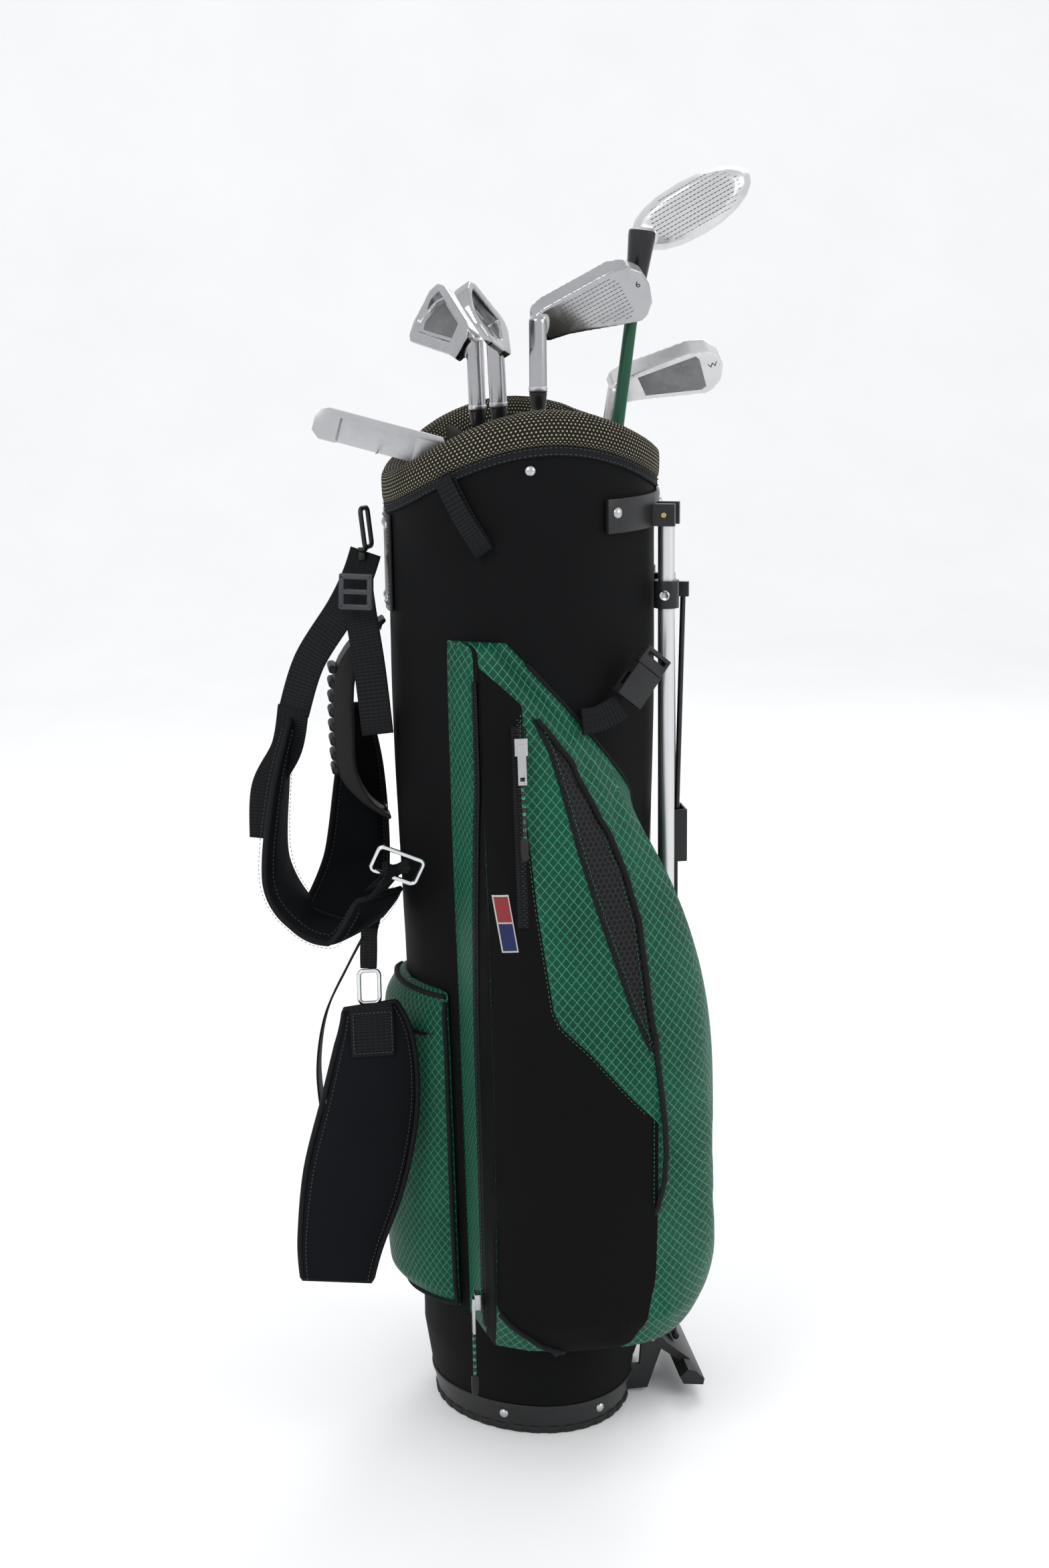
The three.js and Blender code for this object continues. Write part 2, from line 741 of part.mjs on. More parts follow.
// The carrying handle stands off the tube, with finger grooves on its outer side.
function carryHandle() {
  const bend = ribbon(
    [
      { at: [-2.5, 22, 622], side: [0, 1, 0], width: 24, thick: 3 },
      { at: [-22, 22, 606], side: [0, 1, 0], width: 26, thick: 8 },
      { at: [-34, 22, 580], side: [0, 1, 0], width: 28, thick: 16 },
      { at: [-36, 22, 540], side: [0, 1, 0], width: 28, thick: 16 },
      { at: [-34, 22, 508], side: [0, 1, 0], width: 28, thick: 14 },
      { at: [-20, 22, 484], side: [0, 1, 0], width: 26, thick: 6 },
      { at: [-2.5, 22, 470], side: [0, 1, 0], width: 24, thick: 3 },
    ],
    22,
  );
  let made = bend;
  for (let z = 514; z < 590; z += 11) {
    made = made.subtract(rod(vec(-48.5, 0, z), vec(-48.5, 44, z), 5.5, 8));
  }
  return made;
}

// A folded webbing loop under the rim band, for a towel.
function towelLoop() {
  const route = [
    [-129, 733, 1.9], [-121, 707, 1.9], [-114, 688, 3], [-112.4, 682.5, 5.4],
    [-114, 688, 7.8], [-121, 707, 7], [-129, 733, 7.5],
  ];
  return ribbon(
    route.map(([angle, z, off]) => ({
      at: bagPoint(degrees(angle), z, off).toArray(),
      side: [-0.82 * Math.sin(degrees(angle)), 0.82 * Math.cos(degrees(angle)), 0.57],
      width: 14,
      thick: 1.8,
    })),
    18,
  );
}

// ---- Leg strap and its side-release buckle, measured from the tube's wall beside the pocket ----

const strapBearing = degrees(-60);
const strapWall = new THREE.Group();
strapWall.position.set(tubeRadius * Math.cos(strapBearing), tubeRadius * Math.sin(strapBearing), 0);
root.add(strapWall);

const buckleLong = 27;
const buckleWide = 24;
const buckleTall = 9;
const buckleCave = 5.4; // height of the socket
const buckleAt = [11, -8.13, 574];
const buckleAlong = [0.6, 0.14, 0.79];

function legStrap() {
  const station = (at, side) => ({ at, side, width: 19, thick: 1.8 });
  return ribbon(
    [
      station([-22, -18.13, 562], [0, 0, 1]),
      station([-9, -13.13, 563], [-0.1, 0, 1]),
      station([8.5, -8.13, 570.5], [-0.75, 0, 0.66]),
    ],
    8,
  );
}

// The buckle's frame: +X the way the plug pulls out, +Z out from the bag.
function addBuckle() {
  const along = vec(...buckleAlong).normalize();
  const out = vec(0.45, -0.9, 0);
  out.addScaledVector(along, -out.dot(along)).normalize();
  const group = new THREE.Group();
  group.quaternion.setFromRotationMatrix(new THREE.Matrix4().makeBasis(along, out.clone().cross(along), out));
  group.position.set(...buckleAt);
  strapWall.add(group);
  const [w, h, c] = [buckleWide / 2, buckleTall / 2, buckleCave / 2];
  const shell = box([1, -w, -h], [buckleLong, w, h]);
  const cave = box([5, -w + 2.4, -c], [buckleLong + 5, w - 2.4, c]);
  const windows = box([8, -w - 5, -c + 0.6], [18, w + 5, c - 0.6]);
  piece("buckle_socket", shell.subtract(cave).subtract(windows), finishes.blackPlastic, group);
  const seat = buckleLong + gap;
  const block = box([seat, -w, -h + 0.6], [seat + 14, w, h - 0.6]);
  const slot = box([seat + 8, -w + 2.5, -h - 5], [seat + 11, w - 2.5, h + 5]);
  const reach = c - gap;
  const prongs = [-1, 1].map((side) => {
    const [near, far] = [side * 3, side * (w - 3.2)].sort((a, b) => a - b);
    return box([9, near, -reach], [seat + 1, far, reach]);
  });
  piece("buckle_plug", joined(block.subtract(slot), ...prongs), finishes.blackPlastic, group);
}

// ---- Clubs ----

// Where each grip stands on the cup's floor, where its shaft crosses the rim, the way its toe points.
const clubs = [
  {
    name: "fairway_wood", foot: [-34, -21], rim: [tubeRadius - 28, -6], toe: -8,
    mouth: 856, kind: "wood", shaft: "greenShaft",
  },
  {
    name: "iron_nine", foot: [2, -46], rim: [8, -38], toe: -12,
    mouth: 789, kind: "iron", shaft: "greenShaft",
  },
  {
    name: "iron_seven", foot: [-11, 7], rim: [-28.3, 14], toe: 102,
    mouth: 774, kind: "iron", shaft: "greyShaft",
  },
  {
    name: "iron_six", foot: [2 * gripButt - 7.4, 8], rim: [-15, -6], toe: -119,
    mouth: 777, kind: "iron", shaft: "greyShaft",
  },
  {
    name: "wedge", foot: [-43, 38], rim: [tubeRadius - 29, 16], toe: -8,
    mouth: 738, kind: "wedge", shaft: "greyShaft",
  },
  {
    name: "putter", foot: [-56, -2], rim: [-60.5, 6.5], toe: 172,
    mouth: 726, kind: "putter", shaft: "steel",
  },
];
const rimLevel = 750;

// A frame at the butt, +Z along the shaft to the head and +X towards the toe.
function clubFrame({ foot, rim: cross, toe }) {
  const floor = cupFloor + gap + 0.5;
  const start = vec(...foot, floor);
  const along = vec(...cross, rimLevel).sub(start).normalize();
  start.z += gripButt * Math.hypot(along.x, along.y);
  const towards = vec(Math.cos(degrees(toe)), Math.sin(degrees(toe)), 0);
  const face = along.clone().cross(towards).normalize();
  const group = new THREE.Group();
  const turn = new THREE.Matrix4().makeBasis(face.clone().cross(along), face, along);
  group.quaternion.setFromRotationMatrix(turn);
  group.position.copy(start);
  root.add(group);
  return { group, reach: (z) => (z - start.z) / along.z };
}

function grip() {
  const bore = buttRadius + gap;
  return solid(
    turned([
      [0, 0],
      [gripButt - 1, 0],
      [gripButt, 1.5],
      [gripButt - 0.2, 60],
      [gripMouth, gripLong],
      [bore, gripLong],
      [bore, gripCap],
      [0, gripCap],
    ]),
  );
}

function shaft(mouth) {
  const start = gripCap + gap;
  const end = mouth + socketDeep - gap;
  return solid(
    turned(
      [
        [0, start],
        [buttRadius, start],
        [buttRadius, gripLong],
        [tipRadius, mouth - 120],
        [tipRadius, end],
        [0, end],
      ],
      10,
    ),
  );
}

function ferrule(mouth) {
  const bore = tipRadius + gap;
  const low = mouth - gap - ferruleLong;
  const high = mouth - gap;
  const profile = [
    [bore, low], [bore + 0.6, low], [hoselRadius, high - 3], [hoselRadius, high], [bore, high], [bore, low],
  ];
  return solid(turned(profile, 10));
}

// The head frame of a club with lie and loft: +X along the sole to the toe, +Y up the face from the
// sole and +Z out of its back. Its origin is where the shaft's axis meets the sole.
function headMatrix(lie, loft, soleDrop, forward) {
  const [c, s] = [Math.cos(degrees(lie)), Math.sin(degrees(lie))];
  const sole = vec(s, 0, c);
  const rise = vec(c, 0, -s);
  const behind = vec(0, 1, 0);
  const [lc, ls] = [Math.cos(degrees(loft)), Math.sin(degrees(loft))];
  const face = rise.clone().multiplyScalar(lc).addScaledVector(behind, ls);
  const back = behind.clone().multiplyScalar(lc).addScaledVector(rise, -ls);
  return new THREE.Matrix4().makeBasis(sole, face, back).setPosition(0, -forward, soleDrop);
}

const lieIron = 62;
const soleDropIron = 54;
const bladeOutline = [
  [-7, 7],
  [-3, 2],
  [6, 0],
  [58, 0],
  [70, 4],
  [77, 13],
  [78, 26],
  [74, 40],
  [67, 48],
  [61, 50],
  [12, 30],
  [-4, 26],
];
const soleThick = 15;
const topThick = 5;

function hosel(mouth, radius, length) {
  return solid(turned([[0, mouth], [radius, mouth], [radius, mouth + length], [0, mouth + length]], 14));
}

function boredFor(head, mouth) {
  return head.subtract(rod(vec(0, 0, mouth - 5), vec(0, 0, mouth + socketDeep), tipRadius + gap));
}

function ironHead(mouth, loft) {
  const tall = 50;
  const place = headMatrix(lieIron, loft, mouth + soleDropIron, 6);
  const wedgeOut = (p) => vec(p.x, p.y, p.z * mix(soleThick, topThick, Math.min(1, p.y / (tall * 0.6))));
  const blade = solid(moved(plate(bladeOutline, 1), wedgeOut).applyMatrix4(place));
  const cavity = [[14, 7], [64, 7], [70, 16], [69, 36], [62, 41], [22, 25], [14, 22]];
  const raised = place.clone().multiply(new THREE.Matrix4().makeTranslation(0, 0, faceThick));
  const cut = solid(plate(cavity, 30, raised));
  return boredFor(joined(blade, hosel(mouth, hoselRadius, soleDropIron - 4)).subtract(cut), mouth);
}

function woodHead(mouth) {
  const drop = 62;
  const place = headMatrix(lieWood, 0, mouth + drop, 8);
  const ball = new THREE.SphereGeometry(1, 20, 12).rotateX(Math.PI / 2);
  const shaped = moved(ball, (p) => {
    const toe = 29 + 48 * (p.x < 0 ? -((-p.x) ** 0.8) : p.x);
    const rise = 17 + (p.y > 0 ? 22 : 19) * p.y;
    const back = 26 + 37 * p.z * (1 - 0.12 * p.x * p.x);
    return vec(toe, rise, Math.max(back, 1 + faceBulge * (toe - 33) ** 2));
  });
  const flare = [[0, mouth], [6.2, mouth], [9.6, mouth + 40], [9.6, mouth + 44], [0, mouth + 44]];
  const neck = solid(turned(flare, 14));
  return boredFor(joined(solid(shaped.applyMatrix4(place)), neck), mouth);
}

function putterHead(mouth) {
  const drop = 30;
  const place = headMatrix(74, 3, mouth + drop, 4);
  const outline = [[-6, 0], [78, 0], [86, 4], [86, 18], [80, 23], [-4, 23], [-9, 18], [-9, 4]];
  const deep = 34;
  const body = solid(plate(outline, deep, place));
  const cavity = box([12, 5, 9], [68, 40, deep + 10]).transform(place.elements);
  return boredFor(joined(body.subtract(cavity), hosel(mouth, 6.2, drop - 4)), mouth);
}

const heads = {
  wood: (mouth) => [woodHead(mouth), finishes.blackHead],
  iron: (mouth) => [ironHead(mouth, 36), finishes.satinHead],
  wedge: (mouth) => [ironHead(mouth, 48), finishes.satinHead],
  putter: (mouth) => [putterHead(mouth), finishes.steel],
};

function addClub(club) {
  const { group, reach } = clubFrame(club);
  const mouth = reach(club.mouth);
  const [head, headFinish] = heads[club.kind](mouth);
  piece(club.name + "_head", head, headFinish, group);
  piece(club.name + "_shaft", shaft(mouth), finishes[club.shaft], group);
  piece(club.name + "_grip", grip(), finishes.rubber, group);
  if (club.kind === "iron" || club.kind === "wedge") {
    piece(club.name + "_ferrule", ferrule(mouth), finishes.blackPlastic, group);
  }
}

// ---- Assembly ----

function addBag() {
  piece("bag_tube", bagTube(), finishes.blackFabric);
  piece("base_cup", baseCup(), finishes.blackPlastic);
  piece("top_cuff", topCuff(), finishes.mesh);
  piece("rim_band", rimBand(), finishes.webbing);
  piece("club_divider", clubDivider(), finishes.mesh);
  piece("big_pocket", bigPocket(), finishes.greenFabric);
  piece("ball_pocket", sidePocket(), finishes.greenFabric);
}

function addStrap() {
  piece("towel_loop", towelLoop(), finishes.webbing);
  piece("hook_plate", hookPlate(), finishes.vinyl);
  piece("snap_hook", snapHook(), finishes.steel, carryWall);
  piece("strap_webbing", strapWebbing(), finishes.webbing, carryWall);
  piece("slider_buckle", sliderBuckle(), finishes.greyPlastic, carryWall);
  piece("shoulder_pad_upper", shoulderPadUpper(), finishes.pad, carryWall);
  piece("strap_ring_upper", ringUpper(), finishes.chrome, carryWall);
  piece("shoulder_pad_lower", shoulderPadLower(), finishes.pad, carryWall);
  piece("strap_ring_lower", ringLower(), finishes.chrome, carryWall);
  piece("carry_handle", carryHandle(), finishes.rubber, carryWall);
  piece("leg_strap", legStrap(), finishes.webbing, strapWall);
}

function addStand() {
  const frames = sides.map(legFrame);
  piece("stand_head", standHead(frames), finishes.blackPlastic);
  sides.forEach((side, i) => {
    const end = sideNames[i];
    piece("leg_" + end, leg(), finishes.legAlloy, frames[i]);
    piece("leg_foot_" + end, legFoot(), finishes.rubber, frames[i]);
    piece("pivot_pin_" + end, pivotPin(), finishes.steel, frames[i]);
    piece("leg_clamp_" + end, legClamp(frames[i], side), finishes.blackPlastic, frames[i]);
    piece("link_rod_" + end, linkRod(side), finishes.steel);
  });
  piece("push_rod", pushRod(), finishes.blackPlastic);
  piece("pedal", pedal(), finishes.blackPlastic);
  piece("pedal_pin", pedalPin(), finishes.brass);
}
const sides = [-1, 1];
const sideNames = ["near", "far"];

addBag();
addZips();
addStrap();
addBuckle();
addStand();
clubs.forEach(addClub);

export default root;
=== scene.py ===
# Junior golf club set: stand bag with pockets, strap and folding legs, and six clubs.
import json
import math
import bpy
import bmesh
from mathutils import Matrix, Vector, noise
from mathutils.bvhtree import BVHTree

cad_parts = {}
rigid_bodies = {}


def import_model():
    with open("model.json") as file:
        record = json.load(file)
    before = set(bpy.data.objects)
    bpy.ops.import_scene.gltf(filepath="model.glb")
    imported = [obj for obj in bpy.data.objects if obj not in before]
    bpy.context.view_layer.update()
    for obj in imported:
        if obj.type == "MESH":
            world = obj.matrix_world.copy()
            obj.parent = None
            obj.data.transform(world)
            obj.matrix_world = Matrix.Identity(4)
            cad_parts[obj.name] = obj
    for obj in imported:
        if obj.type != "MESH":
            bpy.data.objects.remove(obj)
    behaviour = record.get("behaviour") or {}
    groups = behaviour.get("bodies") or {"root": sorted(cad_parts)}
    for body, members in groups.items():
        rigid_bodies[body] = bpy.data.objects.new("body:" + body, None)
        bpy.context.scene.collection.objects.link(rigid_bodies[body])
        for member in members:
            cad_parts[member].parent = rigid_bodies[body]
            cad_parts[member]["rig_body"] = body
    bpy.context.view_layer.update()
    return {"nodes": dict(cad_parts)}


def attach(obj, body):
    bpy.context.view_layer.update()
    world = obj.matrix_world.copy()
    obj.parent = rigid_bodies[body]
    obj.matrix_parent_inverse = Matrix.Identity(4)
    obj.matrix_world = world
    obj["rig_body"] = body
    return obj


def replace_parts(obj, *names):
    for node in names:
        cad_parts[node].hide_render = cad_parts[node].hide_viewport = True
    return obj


for leftOver in list(bpy.data.objects):
    bpy.data.objects.remove(leftOver)
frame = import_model()
nodes = frame["nodes"]
mm = 0.001
up = Vector((0, 0, 1))

# camera
cameraView = {"place": (-0.2227, -1.5844, 0.87), "heading": -8.0, "pitch": 13.2, "roll": -0.8, "lens": 50}
cameraData = bpy.data.cameras.new("viewCamera")
cameraData.lens = cameraView["lens"]
camera = bpy.data.objects.new("viewCamera", cameraData)
bpy.context.scene.collection.objects.link(camera)
camera.matrix_world = (
    Matrix.Translation(cameraView["place"])
    @ Matrix.Rotation(math.radians(cameraView["heading"]), 4, "Z")
    @ Matrix.Rotation(math.radians(90 - cameraView["pitch"]), 4, "X")
    @ Matrix.Rotation(math.radians(cameraView["roll"]), 4, "Z")
)
bpy.context.scene.camera = camera
bpy.context.scene.view_settings.view_transform = "Standard"


# shader node helpers
class NodeTable:
    def __init__(self, tree):
        self.tree = tree

    def add(self, kind, sockets=None, **settings):
        node = self.tree.nodes.new(kind)
        for name, value in settings.items():
            setattr(node, name, value)
        for name, value in (sockets or {}).items():
            self.join(value, node.inputs[name])
        return node

    def math(self, operation, *values):
        return self.add("ShaderNodeMath", dict(enumerate(values)), operation=operation).outputs[0]

    def plus(self, first, second):
        return self.math("ADD", first, second)

    def minus(self, first, second):
        return self.math("SUBTRACT", first, second)

    def times(self, first, second):
        return self.math("MULTIPLY", first, second)

    def over(self, first, second):
        return self.math("DIVIDE", first, second)

    def split(self, vector):
        return self.add("ShaderNodeSeparateXYZ", {0: vector}).outputs

    def join(self, value, socket):  # a socket takes a link or a plain value
        if isinstance(value, bpy.types.NodeSocket):
            self.tree.links.new(value, socket)
        else:
            socket.default_value = value

    def mix(self, factor, first, second):
        node = self.add("ShaderNodeMix", data_type="RGBA")
        for index, value in ((0, factor), (6, first), (7, second)):
            self.join(value, node.inputs[index])
        return node.outputs[2]

    def ranged(self, value, low, high, outLow=0.0, outHigh=1.0):
        sockets = {"Value": value, "From Min": low, "From Max": high, "To Min": outLow, "To Max": outHigh}
        return self.add("ShaderNodeMapRange", sockets).outputs["Result"]

    def noise(self, vector, scale, detail=3.0, rough=0.5):
        sockets = {"Vector": vector, "Scale": scale, "Detail": detail, "Roughness": rough}
        return self.add("ShaderNodeTexNoise", sockets).outputs["Fac"]

    def group(self, name, **sockets):
        node = self.tree.nodes.new("ShaderNodeGroup")
        node.node_tree = effects[name]
        for key, value in sockets.items():
            self.join(value, node.inputs[key])
        return node.outputs


effects = {}


def startEffect(name, inputs, outputs):
    tree = bpy.data.node_groups.new(name, "ShaderNodeTree")
    for key, kind in inputs:
        tree.interface.new_socket(key, in_out="INPUT", socket_type=kind)
    for key in outputs:
        tree.interface.new_socket(key, in_out="OUTPUT", socket_type="NodeSocketFloat")
    effects[name] = tree
    table = NodeTable(tree)
    return table, tree.nodes.new("NodeGroupInput").outputs, tree.nodes.new("NodeGroupOutput").inputs


vectorKind, floatKind = "NodeSocketVector", "NodeSocketFloat"


def buildWeave():  # over-and-under threads, pitch in metres on a flattened map
    table, given, out = startEffect(
        "threadWeave", [("Vector", vectorKind), ("Pitch", floatKind)], ["Height", "Gap"]
    )
    part = table.split(given["Vector"])
    waves = []
    for axis in (0, 1):
        turn = table.times(table.over(part[axis], given["Pitch"]), math.pi)
        waves.append(table.math("SINE", turn))
    cross = table.times(waves[0], waves[1])
    bulge = table.math("ABSOLUTE", cross)
    table.tree.links.new(bulge, out["Height"])
    table.tree.links.new(table.ranged(bulge, 0.0, 0.25, 1.0, 0.0), out["Gap"])


def buildLattice():  # thin diamond outlines whose threads break up
    table, given, out = startEffect(
        "diamondLattice", [("Vector", vectorKind), ("Pitch", floatKind), ("Line", floatKind)],
        ["Mask", "Height"]
    )
    part = table.split(given["Vector"])
    u = table.over(part[0], given["Pitch"])
    v = table.over(part[1], table.times(given["Pitch"], 1.18))
    lines = []
    for step in (table.plus(u, v), table.minus(u, v)):
        centred = table.math("ABSOLUTE", table.minus(table.math("FRACT", step), 0.5))
        lines.append(table.ranged(centred, table.minus(0.5, given["Line"]), 0.5))
    line = table.math("MAXIMUM", *lines)
    broken = table.ranged(table.noise(given["Vector"], 900.0, 2.0), 0.38, 0.6, 0.35, 1.0)
    mask = table.times(line, broken)
    table.tree.links.new(mask, out["Mask"])
    table.tree.links.new(line, out["Height"])


def buildDots():  # staggered round dots
    table, given, out = startEffect(
        "dotLattice", [("Vector", vectorKind), ("Pitch", floatKind), ("Radius", floatKind)], ["Mask"]
    )
    part = table.split(given["Vector"])
    rowPitch = table.times(given["Pitch"], 0.866)
    rows = table.over(part[1], rowPitch)
    odd = table.times(table.math("FLOORED_MODULO", table.math("FLOOR", rows), 2.0), 0.5)
    columns = table.plus(table.over(part[0], given["Pitch"]), odd)
    fx = table.minus(table.math("FRACT", columns), 0.5)
    fy = table.times(table.minus(table.math("FRACT", rows), 0.5), 0.866)
    away = table.math("SQRT", table.plus(table.times(fx, fx), table.times(fy, fy)))
    mask = table.ranged(away, given["Radius"], table.times(given["Radius"], 0.7))
    table.tree.links.new(mask, out["Mask"])


def buildRibs():  # ribs across (or, with a slope, along the diagonal of) webbing and twill
    table, given, out = startEffect(
        "clothRibs", [("Vector", vectorKind), ("Pitch", floatKind), ("Slope", floatKind)], ["Height"]
    )
    part = table.split(given["Vector"])
    along = table.plus(part[1], table.times(part[0], given["Slope"]))
    wave = table.math("SINE", table.times(table.over(along, given["Pitch"]), 2 * math.pi))
    thread = table.math("SINE", table.times(table.over(part[0], given["Pitch"]), math.pi))
    fine = table.times(table.math("ABSOLUTE", thread), 0.4)
    table.tree.links.new(table.plus(table.ranged(wave, -1.0, 1.0), fine), out["Height"])


def buildGrain():  # cloudy variation and a fine grain
    table, given, out = startEffect(
        "softGrain", [("Vector", vectorKind), ("Coarse", floatKind), ("Fine", floatKind)],
        ["Cloud", "Grain"]
    )
    cloud = table.ranged(table.noise(given["Vector"], given["Coarse"], 4.0, 0.6), 0.3, 0.7)
    grain = table.noise(given["Vector"], given["Fine"], 2.0, 0.6)
    table.tree.links.new(cloud, out["Cloud"])
    table.tree.links.new(grain, out["Grain"])


def buildScratches():  # short hairlines and rubbed patches on metal and plastic
    table, given, out = startEffect(
        "handlingWear", [("Vector", vectorKind), ("Amount", floatKind)], ["Mask", "Rub"]
    )
    found = []
    for turn, stretch in ((0.4, (900, 60, 900)), (1.9, (60, 900, 700)), (2.7, (700, 80, 60))):
        place = table.add(
            "ShaderNodeMapping",
            {"Vector": given["Vector"], "Rotation": (turn, turn * 0.7, turn), "Scale": stretch}
        )
        found.append(table.ranged(table.noise(place.outputs[0], 1.0, 2.0), 0.7, 0.76))
    lines = table.math("MAXIMUM", table.math("MAXIMUM", found[0], found[1]), found[2])
    rub = table.ranged(table.noise(given["Vector"], 35.0, 5.0, 0.65), 0.5, 0.75)
    table.tree.links.new(table.times(lines, given["Amount"]), out["Mask"])
    table.tree.links.new(table.times(rub, given["Amount"]), out["Rub"])


for build in (buildWeave, buildLattice, buildDots, buildRibs, buildGrain, buildScratches):
    build()

finishes = {}


def startFinish(name, color, roughness, **fixed):
    made = bpy.data.materials.new(name)
    made.use_nodes = True
    made.node_tree.nodes.clear()
    table = NodeTable(made.node_tree)
    surface = table.add("ShaderNodeBsdfPrincipled")
    table.tree.links.new(surface.outputs[0], table.add("ShaderNodeOutputMaterial").inputs[0])
    surface.inputs["Base Color"].default_value = (*color, 1)
    surface.inputs["Roughness"].default_value = roughness
    for key, value in fixed.items():
        surface.inputs[key.replace("_", " ")].default_value = value
    finishes[name] = made
    place = table.add("ShaderNodeTexCoord").outputs
    return table, surface, place


def feed(table, surface, name, value):
    table.tree.links.new(value, surface.inputs[name])


def bump(table, surface, height, distance):
    made = table.add("ShaderNodeBump", {"Height": height, "Distance": distance, "Strength": 1.0})
    feed(table, surface, "Normal", made.outputs[0])


def grainOf(table, place, coarse, fine):
    return table.group("softGrain", Vector=place["Object"], Coarse=coarse, Fine=fine)


clothLooks = {  # base color, lighter color (random tone plus painted highlight on the thread crowns), weave pitch in mm, bump in mm, roughness, sheen
    "tubeCloth": ((0.003, 0.0031, 0.0034), (0.0075, 0.0078, 0.0084), 0.55, 0.05, 0.62, 0.0),
    "panelCloth": ((0.0028, 0.0029, 0.003), (0.0066, 0.0068, 0.007), 0.7, 0.06, 0.7, 0.0),
    "neoprene": ((0.0045, 0.005, 0.0062), (0.0095, 0.0106, 0.0128), 0.5, 0.05, 0.85, 0.0),
}


def makeClothFinishes():
    for name, (dark, light, pitch, depth, rough, sheen) in clothLooks.items():
        table, surface, place = startFinish(
            name, dark, rough, Sheen_Weight=sheen, Sheen_Roughness=0.5, Specular_IOR_Level=0.05
        )
        grain = grainOf(table, place, 9.0, 1400.0)
        weave = table.group("threadWeave", Vector=place["UV"], Pitch=pitch * mm)
        tone = table.plus(table.times(grain["Cloud"], 0.5), table.times(grain["Grain"], 0.5))
        # the weave height lightens the thread crowns and darkens the gaps between them: painted highlight
        # and painted shade on the weave
        tone = table.times(tone, table.ranged(weave["Height"], 0.0, 1.0, 0.6, 1.0))
        feed(table, surface, "Base Color", table.mix(tone, (*dark, 1), (*light, 1)))
        feed(
            table, surface, "Roughness", table.ranged(grain["Cloud"], 0.0, 1.0, rough - 0.08, rough + 0.08)
        )
        bump(table, surface, table.plus(weave["Height"], table.times(grain["Grain"], 0.5)), depth * mm)


def makeRipstop():  # green cloth with a light diamond thread
    table, surface, place = startFinish(
        "greenRipstop", (0.006, 0.075, 0.036), 0.45, Sheen_Weight=0.0, Specular_IOR_Level=0.16
    )
    lattice = table.group("diamondLattice", Vector=place["UV"], Pitch=6.6 * mm, Line=0.085)
    weave = table.group("threadWeave", Vector=place["UV"], Pitch=0.38 * mm)
    grain = grainOf(table, place, 14.0, 1200.0)
    ground = table.mix(grain["Cloud"], (0.0012, 0.036, 0.02, 1), (0.0032, 0.066, 0.036, 1))
    # painted shade: the gaps between the threads are darkened
    ground = table.mix(table.times(weave["Gap"], 0.45), ground, (0.002, 0.022, 0.012, 1))
    feed(
        table, surface, "Base Color",
        table.mix(table.times(lattice["Mask"], 0.8), ground, (0.06, 0.38, 0.21, 1))
    )
    feed(table, surface, "Roughness", table.ranged(lattice["Mask"], 0.0, 1.0, 0.5, 0.3))
    height = table.plus(table.times(lattice["Height"], 0.8), table.times(weave["Height"], 0.4))
    bump(table, surface, height, 0.09 * mm)


def makeDottedMesh():  # dark knitted ground with pale round dots
    table, surface, place = startFinish(
        "dottedMesh", (0.012, 0.011, 0.007), 0.8, Sheen_Weight=0.0, Specular_IOR_Level=0.08
    )
    dots = table.group("dotLattice", Vector=place["UV"], Pitch=3.0 * mm, Radius=0.24)
    knots = table.group("dotLattice", Vector=place["UV"], Pitch=1.5 * mm, Radius=0.36)
    grain = grainOf(table, place, 25.0, 1500.0)
    ground = table.mix(knots["Mask"], (0.006, 0.0055, 0.004, 1), (0.035, 0.031, 0.018, 1))
    thread = table.mix(grain["Cloud"], (0.3, 0.28, 0.2, 1), (0.5, 0.47, 0.37, 1))
    feed(table, surface, "Base Color", table.mix(dots["Mask"], ground, thread))
    height = table.plus(dots["Mask"], table.times(knots["Mask"], 0.4))
    bump(table, surface, height, 0.35 * mm)


def makeOpenMesh():  # black net over a dark lining
    table, surface, place = startFinish("blackNet", (0.006, 0.006, 0.007), 0.6, Specular_IOR_Level=0.2)
    holes = table.group("dotLattice", Vector=place["UV"], Pitch=4.2 * mm, Radius=0.42)
    grain = grainOf(table, place, 30.0, 900.0)
    feed(
        table, surface, "Base Color",
        table.mix(holes["Mask"], (0.013, 0.014, 0.015, 1), (0.0015, 0.0015, 0.002, 1))
    )
    feed(table, surface, "Roughness", table.ranged(grain["Grain"], 0.2, 0.8, 0.5, 0.75))
    bump(table, surface, table.minus(1.0, holes["Mask"]), 0.5 * mm)


ribLooks = {  # base, lit thread, pitch mm, slope, bump mm, roughness
    "blackWebbing": ((0.004, 0.0042, 0.0045), (0.014, 0.0148, 0.016), 2.0, 0.0, 0.3, 0.6),
    "twillBinding": ((0.0035, 0.0037, 0.004), (0.017, 0.018, 0.0195), 1.5, 0.9, 0.22, 0.65),
    "fuzzyBar": ((0.016, 0.015, 0.012), (0.045, 0.042, 0.033), 1.2, 0.3, 0.5, 0.95),
}


def makeRibFinishes():
    for name, (dark, light, pitch, slope, depth, rough) in ribLooks.items():
        table, surface, place = startFinish(name, dark, rough, Specular_IOR_Level=0.08)
        ribs = table.group("clothRibs", Vector=place["UV"], Pitch=pitch * mm, Slope=slope)
        grain = grainOf(table, place, 20.0, 1600.0)
        tone = table.times(ribs["Height"], table.ranged(grain["Grain"], 0.2, 0.8, 0.3, 1.0))
        feed(table, surface, "Base Color", table.mix(tone, (*dark, 1), (*light, 1)))
        feed(table, surface, "Roughness", table.ranged(grain["Cloud"], 0.0, 1.0, rough - 0.1, rough + 0.1))
        bump(table, surface, table.plus(ribs["Height"], table.times(grain["Grain"], 0.3)), depth * mm)


